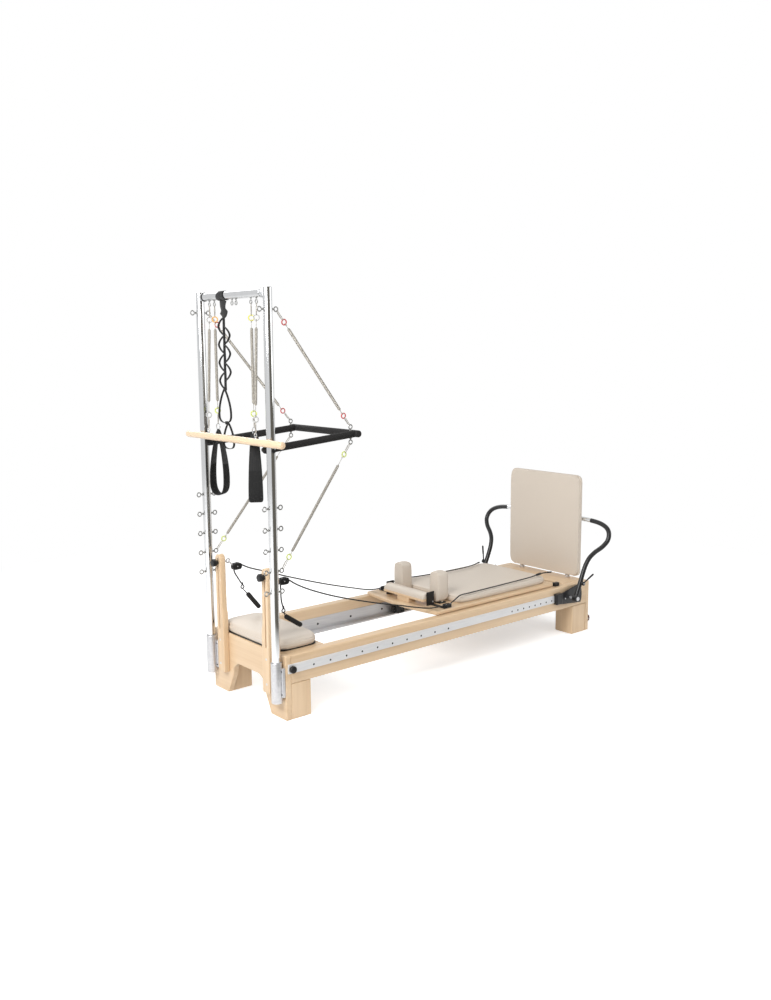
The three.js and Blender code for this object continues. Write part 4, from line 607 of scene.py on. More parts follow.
def round_bar(a, b, radius, sides=12, edge=0.0006, tip=None):
    """A straight round bar from a to b, its edges broken or drawn in to a tip."""
    a, b = np.asarray(a, float), np.asarray(b, float)
    end = [(0, radius - edge if tip is None else tip), (edge, radius)]
    return turned(a, b - a, capped(end, np.linalg.norm(b - a)), sides)


def hexagon(a, b, width):
    """A six-sided nut from a to b, its corners chamfered at both faces."""
    a, b, r = np.asarray(a, float), np.asarray(b, float), width / 2
    return turned(a, b - a, capped([(0, r * 0.88), (r * 0.1, r)], np.linalg.norm(b - a)), 6)


def eye_bolt(centre, aim, eye, hole, shank, nut, mark):
    """A ring, an eye's radius and wire, with a shank that leaves it along aim and a nut on the
    shank. The shank is the distances where it starts and ends, its radius and its sides; the nut
    two distances and its width."""
    spots = [np.add(centre, np.multiply(reach, aim)) for reach in (*shank[:2], *nut[:2])]
    return [(ring(centre, *eye, hole), mark, True), (round_bar(*spots[:2], *shank[2:]), mark),
            (hexagon(*spots[2:], nut[2]), mark)]


for side, way in sides:
    y = way * post_way
    skins = [(turned((post_spot, y, post_low), (0, 0, 1), [
        (0, 0.0195), (0.0005, 0.0205), (0.0015, post_radius), (1.9395, post_radius), (1.942, 0.0202),
        (1.9436, 0.0185), (1.9446, 0.014), (1.945, 0.006)], 48), 0)]
    for z in eye_heights:
        for out in (-1, 1):
            skins += eye_bolt((post_spot + out * 0.044, y, z), (-out, 0, 0), big_eye, "y",
                              (0.0085, 0.026, 0.004, 10), (0.0175, 0.024, 0.013), 3)
    # Small holes in the post: near-black discs, painted shade for their insides.
    for z in (1.452, 1.352, 1.152):
        skins.append((round_bar((post_spot, y - way * 0.0195, z), (post_spot, y - way * 0.0214, z),
                                0.0045), 1))
    skins += [
        (round_bar((post_spot, way * 0.2365, pivot_height), (post_spot, way * 0.324, pivot_height),
                   0.0055), 0),
        (turned((post_spot, way * 0.318, pivot_height), (0, way, 0), [
            (0, 0.0095), (0.001, 0.0105), (0.007, 0.0105), (0.0092, 0.009), (0.01, 0.005)], 20), 2),
        (turned((post_spot, way * 0.2355, pivot_height), (0, way, 0), [
            (0, 0.007), (0.0008, 0.0105), (0.0024, 0.0105), (0.003, 0.0095)], 20), 2)]
    piece(f"post_tube_{side}", skins, [chrome, hole_shade_and_screw_black, black_plastic, wire_steel], "frame",
          f"post_{side}")

# Cross bar. A polished tube between the posts with two collars, the left one black; six screw
# eyes hang below it.
bar_high, bar_radius, bar_half, hang_high = 2.015, 0.0195, 0.2807, 1.977
inner_hang, outer_hang = 0.164, 0.211
skins = [(turned((post_spot, -bar_half, bar_high), (0, 1, 0),
                 capped([(0, 0.0185), (0.001, bar_radius)], 2 * bar_half), 48), 0)]
for way in (-1, 1):
    middle = way * (bar_half - 0.026)
    skins.append((turned((post_spot, middle - 0.0045, bar_high), (0, 1, 0),
                         capped([(0, 0.0195), (0.0006, 0.0216)], 0.009), 32), 1 if way > 0 else 0))
for y in (-outer_hang, outer_hang, -inner_hang, inner_hang, -0.035, 0.001):
    skins += eye_bolt((post_spot, y, hang_high), (0, 0, 1), small_eye, "x",
                      (0.0075, 0.022, 0.0028, 8), (0.0155, 0.0202, 0.0098), 2)
piece("cross_bar_tube", skins, [chrome, black_plastic, wire_steel], "frame", "crossbar")

# Post receivers. Cast aluminium sleeves that the posts stand in, each with a mounting pad that
# two hexagon bolts hold to the end frame.
for side, way in sides:
    y, pad_in, pad_out = way * post_way, way * (post_way - 0.037), way * (post_way + 0.0311)
    bolt_way = min(pad_in, pad_out) + 0.006
    skins = [
        (turned((post_spot, y, 0.092), (0, 0, 1), [
            (0, 0.0235), (0.0012, 0.0258), (0.003, 0.0265), (0.197, 0.0265), (0.1988, 0.0259), (0.2, 0.0247),
            (0.2, 0.0222), (0.19, 0.0214)], 40), 0),
        (block((post_spot + 0.012, pad_in, 0.120), (-0.0003, pad_out, 0.264), 0.003, 0.004), 0)]
    for z in (0.135, 0.249):
        skins.append((hexagon((-0.021, bolt_way, z), (-0.0165, bolt_way, z), 0.009), 1))
    piece(f"post_receiver_{side}", skins, [satin, black_plastic], "frame", f"sleeve_{side}")

# Risers. Slotted maple uprights, 31 mm thick, that two bolts hold to the end frame; below the
# knobs they widen towards the middle of the unit.
riser_thick, slot_half, slot_low, slot_high = 0.0314, 0.005, 0.345, 0.705


def facing(outline, spots, turn):
    """For rays that leave a vertical spine at spots in the directions turn: where each meets
    the closed outline, the nearest crossing of the ray with the outline's sides."""
    along = np.roll(outline, -1, axis=0) - outline
    start = np.stack([np.zeros(len(spots)), spots], axis=1)
    aim = np.stack([np.cos(turn), np.sin(turn)], axis=1)[:, None]
    cross = aim[..., 0] * along[:, 1] - aim[..., 1] * along[:, 0]
    cross = np.where(np.abs(cross) < 1e-12, 1e-12, cross)
    gap = outline - start[:, None]
    reach = (gap[..., 0] * along[:, 1] - gap[..., 1] * along[:, 0]) / cross
    share = (gap[..., 0] * aim[..., 1] - gap[..., 1] * aim[..., 0]) / cross
    met = (share >= -1e-9) & (share <= 1 + 1e-9) & (reach > 1e-9)
    return start + np.where(met, reach, np.inf).min(axis=1)[:, None] * aim[:, 0]


rays, low_rays = 14, 120
spots = np.concatenate([np.linspace(slot_low, slot_high, rays), np.full(24, slot_high),
                        np.linspace(slot_high, slot_low, rays), np.full(low_rays, slot_low)])
turns = np.concatenate([np.zeros(rays), np.linspace(0, np.pi, 26)[1:-1], np.full(rays, np.pi),
                        np.linspace(np.pi, 2 * np.pi, low_rays + 2)[1:-1]])
slot_line = np.stack([slot_half * np.cos(turns), spots + slot_half * np.sin(turns)], axis=1)
lower_line = filleted(
    [(-0.025, 0.115), (0.037, 0.115), (0.037, 0.428), (0.025, 0.452), (0.025, 0.6), (0, 0.6), (-0.025, 0.6)],
    [0.006, 0.006, 0.02, 0.02, 0.001, 0.001, 0.001])[:32]
riser_line = facing(np.concatenate([lower_line, circle(0.025, 48)[:25] + (0, 0.707)]), spots, turns)
riser_edge = 0.004
near = [(slot_line, 0.0, 0.001), (slot_line, -0.0008, 0.0002), (slot_line, -0.0014, 0.0),
        (riser_line, riser_edge + 0.0008, 0.0)]
near += [(riser_line, riser_edge * (1 - math.sin(a)), riser_edge * (1 - math.cos(a)))
         for a in np.radians([0, 30, 60, 90])]
rows = near + [(line, shrink, riser_thick - rise) for line, shrink, rise in near[::-1]]
for side, way in sides:
    grid = np.stack([upright(inset(line, shrink) * (-way, 1) + (way * riser_way, 0),
                             rise - riser_thick - 0.0003, "x") for line, shrink, rise in rows])
    skins = [(grid, 0, True)]
    for inward, z, size in ((0.0, 0.16, 0.0065), (0.0, 0.285, 0.0065), (0.0175, 0.6, 0.003)):
        y = way * (riser_way - inward)
        skins.append((round_bar((-0.0309, y, z), (-0.0323, y, z), size, 16), 1))
    piece(f"slotted_riser_{side}", skins, [maple_z, satin], "frame", f"riser_{side}", 38)

# Clamp knobs. Black plastic star knobs with five lobes, screwed on the clamp bolts, that lock
# the pulley blocks in the slots.
knob_face, clamp_height = -0.0323, 0.690
knob_steps = np.linspace(0, 2 * np.pi, 50, endpoint=False)
lobes = 1 - 0.10 * (0.5 + 0.5 * np.cos(5 * knob_steps))
for side, way in sides:
    grid = turned((knob_face, way * riser_way, clamp_height), (-1, 0, 0), [
        (0, 0.0105), (0.001, 0.012), (0.0085, 0.012), (0.009, 0.016), (0.011, 0.0185), (0.014, 0.02),
        (0.027, 0.02), (0.0305, 0.0188), (0.0325, 0.016), (0.0329, 0.011)], len(lobes))
    middle = grid.mean(axis=1, keepdims=True)
    deep = np.where(np.arange(len(grid)) > 2, 1.0, 0.0)[:, None, None]
    grid = middle + (grid - middle) * (1 + deep * (lobes[None, :, None] - 1))
    piece(f"star_knob_{side}", [(grid, 0)], [black_plastic], f"clamp_knob_{side}", f"clamp_knob_{side}")

# Pulley blocks. The clamp bolt ends in an eye; a link holds two black cheeks with the sheave
# between them. The sheave is a turned aluminium wheel with a round rope groove.
groove_end = [(0, 0.0036), (0, 0.0142), (0.0006, 0.015), (0.0014, 0.0147), (0.0028, 0.0131)]
sheave_width = 0.0096
groove = capped(groove_end, sheave_width)
groove.insert(len(groove_end), (sheave_width / 2, 0.0125))
for side, way in sides:
    y = way * riser_way
    skins = [
        (round_bar((-0.0560, y, clamp_height), (0.0184, y, clamp_height), 0.004), 1),
        (turned((0.0003, y, clamp_height), (1, 0, 0), [
            (0, 0.007), (0.0006, 0.008), (0.0038, 0.008), (0.0045, 0.007)], 20), 1),
        (ring((0.0289, y, clamp_height), *big_eye, "y"), 1, True),
        (round_bar((0.031, y, 0.6885), (0.0545, y, 0.6635), 0.0036, 10), 1)]
    cheek_line = filleted(rectangle((sheave_spot - 0.027, sheave_height - 0.017),
                                    (sheave_spot + 0.027, sheave_height + 0.017)), 0.0165, 10, 0.0003)
    for out in (-1, 1):
        skins += [
            (slab(cheek_line, y + out * 0.0054, y + out * 0.0118, 0.0014, "y"), 0),
            (round_bar((sheave_spot, y + out * 0.0112, sheave_height),
                       (sheave_spot, y + out * 0.0120, sheave_height), 0.0035), 1)]
    skins.append((block((0.0517, y - 0.0060, 0.647), (0.0565, y + 0.0060, 0.667), 0.001), 0))
    piece(f"pulley_block_{side}", skins, [black_plastic, satin], "frame", f"pulley_{side}")
    grid = turned((sheave_spot, y - sheave_width / 2, sheave_height), (0, 1, 0), groove, 32)
    piece(f"sheave_wheel_{side}", [(grid, 0, True)], [satin], f"sheave_{side}", f"sheave_{side}")

# Push-through bar. A steel tube frame covered in black foam, with bare round ends at the
# pivots, and eye bolts through both arms near the far end for its springs.
foam = worn("black_foam", (0.014, 0.013, 0.013), (0.008, 0.0075, 0.0075), 0.82, 420, 0.0004, spread=0.05)
push_end, push_height, push_way, push_overhang, foam_radius = 0.494, 1.344, 0.259, 0.292, 0.0175
eye_x, eye_z = 0.464, 1.34149
skins = []
for way in (-1, 1):
    a = np.array((post_spot, way * push_way, pivot_height))
    b = np.array((push_end, way * push_way, push_height))
    span, aim = np.linalg.norm(b - a), unit(b - a)
    skins += [
        (turned(a - aim * foam_radius, aim, [
            (0.0002, 0.004), (0.0025, 0.010), (0.008, 0.0152), (0.0175, foam_radius), (0.030, foam_radius),
            (span + 0.016, foam_radius)], 28), 0),
        (round_bar((eye_x, b[1], eye_z - 0.0275), (eye_x, b[1], eye_z + 0.0275), 0.0035, 10), 1)]
    for up in (-1, 1):
        skins += [
            (ring((eye_x, b[1], eye_z + up * 0.038), *big_eye, "y"), 1, True),
            (hexagon((eye_x, b[1], eye_z + up * 0.016), (eye_x, b[1], eye_z + up * 0.0215), 0.0125), 1)]
cross_profile = capped([(0, 0.009), (0.001, 0.0135), (0.004, 0.0165), (0.008, foam_radius)],
                       2 * push_overhang)
skins.append((turned((push_end, -push_overhang, push_height), (0, 1, 0), cross_profile, 28), 0))
piece("foam_push_frame", skins, [foam, wire_steel], "push_bar", "push_bar")

# Springs. Close-wound steel wire, 15 mm thick. A steel snap hook at either end bites the eye and
# holds a coloured plastic ring, and a small wire eye on the spring's straight tail hooks into it.
spring_steel = worn("spring_steel", (0.56, 0.53, 0.48), (0.40, 0.375, 0.33), 0.46, 200, 0.00002, 0.5)
ring_colours = {
    "red": (0.62, 0.05, 0.05), "yellow": (0.78, 0.72, 0.12), "white": (0.52, 0.52, 0.51),
    "orange": (0.85, 0.42, 0.08), "lime": (0.66, 0.76, 0.16),
}
ring_looks = {name: worn(f"ring_{name}", colour, tuple(0.85 * c for c in colour), 0.4, 150, 0.00004)
              for name, colour in ring_colours.items()}


def hoop(centre, one_axis, other_axis, half, other_half, wire, power=1.0):
    """A closed wire hoop: its half lengths are taken with the cosine and sine of even turns, each
    to a power; under 1 the power makes it an oblong whose sides run nearly straight."""
    reach = np.sign(circle(1, 28)) * np.abs(circle(1, 28)) ** power * (half, other_half)
    path = centre + reach[:, :1] * one_axis + reach[:, 1:] * other_axis
    return sweep(path, circle(wire, 8), np.cross(one_axis, other_axis), closed=True)


def helix(a, b, side, other, radius, wire, turns, least):
    """A coil from a to b: the radius times the cosine and sine of even turns on two axes, drawn in
    to its least share over the first and last two and a half turns."""
    share = np.linspace(0, 1, turns * 10 + 1)
    swell = radius * np.clip(np.minimum(share, 1 - share) * turns / 2.5, least, 1)
    angle = 2 * np.pi * turns * share
    path = a + (b - a) * share[:, None] + (swell * np.cos(angle))[:, None] * side
    return sweep(path + (swell * np.sin(angle))[:, None] * other, circle(wire, 5), b - a)


def spring(name, node_name, start, end, hook, body_from, body_to, colours, across, body, blend=None):
    """A spring between two eyes. Its snap hooks bear a little way, hook, beyond each eye's centre,
    and its coil runs between two distances from the first eye, its turns touching. The places of
    link, gate, ring, wire loop and tail are measured from the point where a hook bears."""
    wire, coil, gate_out = 0.0014, 0.0061, 0.0064
    link_middle, gate_start, gate_end, ring_middle, loop_middle, tail_start = (
        0.0295, 0.014, 0.044, 0.0676, 0.0823, 0.0874)
    a, b = np.array(start), np.array(end)
    span, along = np.linalg.norm(b - a), unit(b - a)
    side = unit(across - along * np.dot(across, along))
    other = np.cross(along, side)
    skins = []
    for base, aim, look, body_start in ((a, along, 1, body_from), (b, -along, 2, span - body_to)):
        bite = base + aim * hook
        gate = bite + side * gate_out
        tail = body_start - hook - tail_start
        skins += [
            (hoop(bite + aim * link_middle, aim, side, 0.0279, gate_out, 0.0017, 0.7), 0, True),
            (round_bar(gate + aim * gate_start, gate + aim * gate_end, 0.0026, 10, 0.001, 0.0012), 0),
            (hoop(bite + aim * ring_middle, aim, other, 0.0126, 0.0126, 0.0029), look, True),
            (hoop(bite + aim * loop_middle, aim, side, 0.0063, 0.0063, 0.0013), 0, True),
            (turned(bite + aim * tail_start, aim, [
                (0, 0.0008), (0.0006, 0.0013), (tail - 0.0006, 0.0013), (tail, 0.0020)], 10), 0)]
    turns = int((body_to - body_from) / (2.06 * wire))
    skins.append((helix(a + along * body_from, a + along * body_to, side, other, coil, wire, turns, 0.12), 0))
    made = piece(name, skins, [spring_steel, *(ring_looks[colour] for colour in colours)], body, node_name,
                 50)
    if blend:
        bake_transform(made)


bar_x, bar_y, bar_z, bar_length = -0.075, -0.037, 1.338, 0.857
bar_middle, bar_eye_way, bar_eye_z, strap_eye_z = -0.029, 0.212, 1.370, 1.391
hang_turn = np.array((0.65, 0.76, 0))
for side, way in sides:
    for place, node_place, post_eye, bar_eye, body_from, body_to, colour in (
            ("high", "upper", 1.940, 1.3795, 0.108, 0.614, "red"),
            ("low", "lower", 0.732, 1.3035, 0.101, 0.596, "lime")):
        spring(f"push_spring_{place}_{side}", f"push_spring_{node_place}_{side}",
               (0.012, way * post_way, post_eye), (eye_x, way * push_way, bar_eye), 0.0055, body_from,
               body_to, (colour, colour), np.array((0, 1, 0)), None, ("frame", "push_bar"))
    spring(f"bar_spring_{side}", f"roll_spring_{side}", (post_spot, way * outer_hang, hang_high),
           (bar_x, bar_middle + way * bar_eye_way, bar_eye_z), 0.0048, 0.116, 0.474, ("white", "white"),
           hang_turn, "roll_down_bar")
    spring(f"foot_spring_{side}", f"strap_spring_{side}", (post_spot, way * inner_hang, hang_high),
           (post_spot, way * inner_hang, strap_eye_z), 0.0048, 0.116, 0.470,
           ("yellow" if side == "right" else "orange", "lime"), hang_turn, f"leg_strap_{side}")

# Roll-down bar. A turned beech dowel with rounded ends that hangs from the two outer springs by
# screw eyes and leans on the tower side of the posts.
beech = wood("beech_y", 1, (0.84, 0.64, 0.44), (0.74, 0.53, 0.34))
skins = [(turned((bar_x, bar_y - bar_length / 2, bar_z), (0, 1, 0), capped([
    (0, 0.006), (0.0006, 0.011), (0.0025, 0.0145), (0.006, 0.0164), (0.010, 0.017)], bar_length), 32), 0)]
for way in (-1, 1):
    y = bar_middle + way * bar_eye_way
    skins += [
        (ring((bar_x, y, bar_eye_z), *small_eye, "x"), 1, True),
        (round_bar((bar_x, y, 1.350), (bar_x, y, 1.3625), 0.0028, 8), 1),
        (turned((bar_x, y, 1.3545), (0, 0, 1), [
            (0, 0.005), (0.0005, 0.0062), (0.002, 0.0062), (0.0026, 0.005)], 16), 1)]
piece("roll_down_dowel", skins, [beech, chrome], "roll_down_bar", "roll_down_bar")

# Foot straps. Black webbing 70 mm wide below and 35 mm at the ring, sewn into a long loop with
# a padded lower half. Each hangs from an inner spring, turned a little less than square on.
webbing = woven("black_webbing", (0.012, 0.012, 0.013), (0.004, 0.004, 0.004), 34, 0.004, 0.0003, 0.8)
fleece = worn("strap_padding", (0.014, 0.014, 0.014), (0.008, 0.008, 0.008), 0.95, 700, 0.0006, spread=0.03)


def cubic(steps, *corners):
    """A cubic curve: its four corners by (1-t)^3, 3(1-t)^2 t, 3(1-t)t^2 and t^3."""
    t = np.linspace(0, 1, steps)[:, None]
    weights = ((1 - t) ** 3, 3 * (1 - t) ** 2 * t, 3 * (1 - t) * t ** 2, t ** 3)
    return sum(weight * np.array(corner) for weight, corner in zip(weights, corners))


def drop_loop(half, height, steps, shift):
    """A teardrop loop standing on its round end: four cubic curves, as in the real strap's fall,
    from the top down one side and up the other. shift moves the line inwards."""
    w, top, steps = half - shift, height - 2.4 * shift, steps // 4 + 1
    upper = cubic(steps, (0, top), (-0.35 * w, 0.9 * top), (-1.08 * w, 0.5 * height), (-w, 0.22 * height))
    lower = cubic(steps, (-w, 0.22 * height), (-w, 0.06 * height), (-0.55 * w, shift), (0, shift))
    down = np.concatenate([upper[:-1], lower])
    return np.concatenate([down, down[-2:0:-1] * (-1, 1)])


def flat_section(thick, wide):
    """A thin band's section: a rectangle whose two narrow sides are half circles."""
    r, turn = thick / 2, np.linspace(-np.pi / 2, np.pi / 2, 6)
    cap = np.stack([r * np.sin(turn), wide / 2 - r + r * np.cos(turn)], axis=1)
    return np.concatenate([cap, -cap])


def tapered(flat, widths):
    """One copy of a band's section for each width: its points slide out along the width alone."""
    slide = (np.asarray(widths)[:, None] - 1) / 2 * np.sign(flat[:, 1])
    return flat + np.stack([0 * slide, slide], axis=2)


strap_height = 0.328
strap_line = drop_loop(0.039, strap_height, 72, 0.0025)
for side, way in sides:
    turn = -way
    hang = np.array((post_spot, way * inner_hang, 1.044))
    skins = []
    for line, thick, share, mark in ((strap_line, 0.0034, 1.0, 0),
                                     (strap_line[strap_line[:, 1] < 0.17], 0.0049, 0.86, 1)):
        out, up = line.T
        path = np.column_stack([out * math.cos(turn), out * math.sin(turn), up]) + hang
        widths = 0.0695 * share * (1 - 0.5 * (up / strap_height) ** 2)
        widths *= 1 - 0.16 * np.exp(-(up / 0.010) ** 2)
        band = sweep(path, tapered(flat_section(thick, 1.0), widths), (-math.sin(turn), math.cos(turn), 0),
                     closed=mark == 0)
        skins.append((band, mark, mark == 0))
    skins += [(ring(hang + (0, 0, strap_height + 0.0115), 0.0165, 0.0024, "x", 20), 2, True),
              (block(hang + (-0.0065, -0.0045, 0.296), hang + (0.0065, 0.0045, 0.3285), 0.0015), 0)]
    piece(f"foot_strap_{side}", skins, [webbing, fleece, chrome], f"leg_strap_{side}", f"leg_strap_{side}",
          50)

# Looped stretching strap. A black webbing band round the cross bar is gathered into a flat core
# 12 mm deep. Seven small loops are sewn to both sides of the core in turn, and two large loops
# for a hand or a foot hang below it.
band_way, gather_low, bow_reach, bow_height, wrap_reach = 0.082, 1.9142, 0.053, 0.087, 0.0213
skins = []
for way in (-1, 1):
    path = upright(circle(wrap_reach, 40), 0.0, "y")
    lean = path[:, 2:] * (0, -way * 0.008 / wrap_reach, 0)
    path = path + (post_spot, band_way + way * 0.013, bar_high) + lean
    skins.append((sweep(path, flat_section(0.0029, 0.0340), closed=True), 0, True))
share = np.linspace(0, 1, 30)
path = np.column_stack([np.full(30, post_spot), band_way + 0.004 * np.sin(6 * share),
                        np.linspace(bar_high - 0.0190, gather_low - 0.006, 30)])
wide = np.interp(share, (0, 0.30, 0.52, 0.70, 0.86, 1), (0.066, 0.050, 0.038, 0.076, 0.048, 0.010))
deep = np.interp(share, (0, 0.30, 0.52, 0.70, 1), (0.0060, 0.0095, 0.0125, 0.0090, 0.0118))
skins.append((sweep(path, circle(0.5, 16) * np.stack([deep, wide], axis=1)[:, None]), 0))
levels = np.linspace(gather_low + 0.003, 1.5645, 60)
bend = 0.0007 * np.sin(2 * np.pi * (levels - gather_low) / bow_height)
for way in (-1, 1):
    path = np.column_stack([np.full(60, post_spot), band_way + way * 0.0021 + bend, levels])
    skins.append((sweep(path, flat_section(0.0034, 0.0114), (1, 0, 0)), 0))
out, rise = 0.0015 - bow_reach, bow_height - 0.003
upper_bow = cubic(16, (-0.0015, rise), (out * 0.50, rise * 0.88), (out * 0.94, rise * 0.68),
                  (out, rise * 0.50))
bow = np.concatenate([upper_bow, upper_bow[-2::-1] * (1, -1) + (0, rise)])
for i in range(7):
    way = -1 if i % 2 == 0 else 1
    low = gather_low - bow_height * (i / 2 + 1) + 0.0015
    path = np.column_stack([np.full(len(bow), post_spot), band_way + way * bow[:, 0], low + bow[:, 1]])
    skins.append((sweep(path, flat_section(0.0027, 0.0114), (1, 0, 0)), 0))
for middle, low, half, height, knot_way in ((0.094, 1.4052, 0.056, 0.170, 0.088),
                                            (0.067, 1.2802, 0.049, 0.131, 0.0815)):
    line = drop_loop(half, height, 80, 0.0015)
    path = np.column_stack([np.full(len(line), post_spot), middle + line[:, 0], low + line[:, 1]])
    knot = np.array((post_spot, knot_way, low + height - 0.003))
    skins += [(sweep(path, flat_section(0.0028, 0.0115), (1, 0, 0), closed=True), 0, True),
              (block(knot - (0.0064, 0.0070, 0.0085), knot + (0.0064, 0.0070, 0.0065), 0.0012), 1)]
piece("looped_strap", skins, [webbing, fleece], "ladder_strap", "ladder_strap", 50)

# Cushions. Greige synthetic leather over foam on a board: the sides swell and draw in between
# the corners, with a welt round the top edge and another round the bottom. The platform cushion
# is round-shouldered and lies on a black base board, whose black is partly its own and partly painted shade
# for the shadowed gap under the cushion's edge.
leather = worn("greige_leather", (0.69, 0.615, 0.53), (0.63, 0.555, 0.47), 0.46, 900, 0.00012, spread=0.05)


def cushion(length, width, height, crown, corner, draw, around=160, seam=0.0009, roll=(0.92, 0.9)):
    """A closed cushion on z = 0. Its outline is a superellipse, the power of cosine and sine set
    by the corner, drawn in along the sides; rows go up the swelling side, over a rolled edge that
    starts at a share of the height and reaches in some draws, and in over a crown that falls off
    with the square of the way out."""
    power = max(0.12, 2 * corner / min(length, width))
    flat = np.sign(circle(1, around)) * np.abs(circle(1, around)) ** power
    turn = np.linspace(0, 2 * np.pi, around, endpoint=False)
    pull = draw / 2 * np.abs(np.cos(2 * turn))[:, None]
    shoulder, welt = height - crown, seam
    foot, roll_start = shoulder * 0.06, shoulder * roll[0]
    swell = [(draw * 0.5 * (2 * t - 1) ** 2, 1, shoulder * t) for t in np.linspace(0.16, roll[0] - 0.06, 8)]
    roll_rise = shoulder - roll_start + crown * 0.10 - 2 * welt
    rolled = [(draw * (0.36 + roll[1] * (1 - math.cos(t))), 1,
               roll_start + 2 * welt + roll_rise * math.sin(t)) for t in np.radians([0, 16, 32, 48, 64, 80])]
    top = [(draw * (0.25 + roll[1]), s, shoulder + crown * (1 - (s * 0.95) ** 2))
           for s in np.linspace(0.965, 0.02, 14)]
    rows = [
        (draw, 0.97, 0), (draw * 0.8, 1, 0.0004), (draw * 0.62, 1, foot),
        (draw * 0.62 + welt, 1, foot + welt), (draw * 0.55, 1, foot + 2 * welt), *swell,
        (draw * 0.34, 1, roll_start), (draw * 0.34 + welt, 1, roll_start + welt), *rolled, *top]
    halves = np.array([length, width]) / 2
    return np.stack([upright((halves - shrink - pull) * flat * share, z, "z") for shrink, share, z in rows])


def standing(pad, height, spot):
    """A cushion stood on edge, its crown to the tower and its base a height behind the spot."""
    return np.stack([height - pad[..., 2], pad[..., 1], pad[..., 0]], axis=2) + np.asarray(spot, float)


pad = cushion(0.2608, 0.552, 0.061, 0.014, 0.056, 0.008, roll=(0.62, 2.6))
skins = [(pad + (0.1312, 0, 0.3273), 0),
         # The black base board: partly real black, partly painted shade for the shadow under the cushion's
         # edge.
         (block((0.0090, -0.264, 0.3203), (0.2490, 0.264, 0.3276), 0.001, 0.055), 1)]
made = piece("platform_pad", skins, [leather, black_plastic], "frame", "platform_cushion", 40)
pad = cushion(0.755, 0.546, 0.047, 0.008, 0.052, 0.008, roll=(0.70, 1.8))
made = piece("carriage_cushion", [(pad + (1.5895, 0, 0.3433), 0)], [leather], "carriage", "carriage_pad",
             40)

# Shoulder rests. Upright padded blocks in the same leather, on a black base plate with two steel
# pegs that drop into the deck.
for side, way in sides:
    y = way * 0.154
    skins = [(standing(cushion(0.179, 0.087, 0.078, 0.005, 0.026, 0.006, 96), 0.078, (1.122, y, 0.4375)), 0)]
    for shift in (-0.026, 0.026):
        skins.append((round_bar((1.161, y + shift, 0.3243), (1.161, y + shift, 0.372), 0.007, 14), 1))
    skins.append((block((1.1376, y - 0.0365, 0.3433), (1.1844, y + 0.0365, 0.3495), 0.001), 2))
    name = f"shoulder_rest_{side}"
    made = piece(f"shoulder_pad_{side}", skins, [leather, chrome, black_plastic], name, name,
                 40)

# Headrest. A padded half-round roll in the same leather on a maple board, hinged at its rear
# edge in black lugs.
board_low, board_high, head_start, head_end, head_half = 0.368, 0.382, 1.026, 1.108, 0.170
roll_line = np.concatenate([
    cubic(22, (head_end - 0.002, board_high), (head_end - 0.001, board_high + 0.042),
          (head_start + 0.001, board_high + 0.042), (head_start + 0.002, board_high)),
    [(head_start + 0.02, board_high - 0.0006), (head_end - 0.02, board_high - 0.0006)]])
skins = [(slab(roll_line, -0.168, 0.168, 0.003, "y"), 0),
         (block((head_start + 0.0003, 0.0005 - head_half, board_low),
                (head_end - 0.0003, head_half - 0.0005, board_high), 0.003, 0.006), 1)]
for way in (-1, 1):
    lug = block((head_end - 0.024, way * 0.158, 0.356), (head_end, way * head_half, 0.3755), 0.0015)
    skins.append((lug, 2))
made = piece("headrest_roll", skins, [leather, maple_y, black_plastic], "headrest", "headrest",
             40)

# Carriage. A maple deck with rounded rear corners and a bowed front edge, a block that props the
# headrest, and the chassis below it that carries the stub axles and anchors the springs.
deck_back, deck_half, deck_low, axle_height, axle_spots = 1.985, 0.300, 0.324, 0.2143, (1.190, 1.850)
u = np.linspace(1, -1, 41)[1:-1]
bow = np.stack([deck_front - 0.032 * (1 - u ** 2), deck_half * u], axis=1)
corners = filleted(rectangle((deck_front + 0.02, -deck_half), (deck_back, deck_half)),
                   [0.001, 0.020, 0.020, 0.001], 8, 0.0005)
horns = np.array([(deck_front + 0.001, deck_half), (deck_front + 0.001, -deck_half)])
deck_line = np.concatenate([corners, horns[:1], bow, horns[1:]])
skins = [(slab(deck_line, deck_low, deck_high, 0.004, "z"), 0),
         (block((1.0265, -0.050, 0.3425), (1.082, 0.050, 0.3674), 0.003, 0.004), 1)]
under, beam_top, beam_half = deck_low - 0.062, 0.3245, 0.199
for way in (-1, 1):
    skins.append((block((1.150, way * 0.200, under), (1.900, way * 0.226, beam_top)), 0))
    for x in axle_spots:
        skins += [
            (block((x - 0.026, way * 0.200, 0.200), (x + 0.026, way * 0.226, under + 0.001), 0.003,
                   0.002), 2),
            (round_bar((x, way * 0.200, axle_height), (x, way * 0.2683, axle_height), 0.005), 3)]
for start, end, low in ((1.1502, 1.1758, 0.288), (1.8742, 1.8998, 0.288), (1.5337, 1.5597, 0.237)):
    skins.append((block((start, -beam_half, low), (end, beam_half, beam_top)), 1))
piece("carriage_board", skins, [maple_x, maple_y, black_plastic, chrome], "carriage", "carriage_deck",
      40)

# Carriage wheels. Grey-black polyurethane tyres with five screws through the web, that turn on
# the stub axles of the chassis.
tyre_black = worn("wheel_tyre", (0.020, 0.020, 0.021), (0.012, 0.012, 0.012), 0.5, 150, 0.0001)
wheel_way, wheel_width = 0.258, 0.0196
wheel_profile = capped([
    (0, 0.0055), (0, 0.0115), (0.0023, 0.0125), (0.0023, 0.019), (0, 0.020), (0, 0.0235), (0.0013, 0.0252),
    (0.0038, 0.026)], wheel_width)
for side, way in sides:
    y = way * wheel_way
    for place, x in zip(("front", "rear"), axle_spots):
        skins = [(turned((x, y - wheel_width / 2, axle_height), (0, 1, 0), wheel_profile, 36), 0, True)]
        for along, up in circle(0.0157, 5) + (x, axle_height):
            skins.append((round_bar((along, y - 0.0078, up), (along, y + 0.0078, up), 0.0018, 8), 1))
        name = f"wheel_{place}_{side}"
        piece(f"carriage_{name}", skins, [tyre_black, satin], name, name)

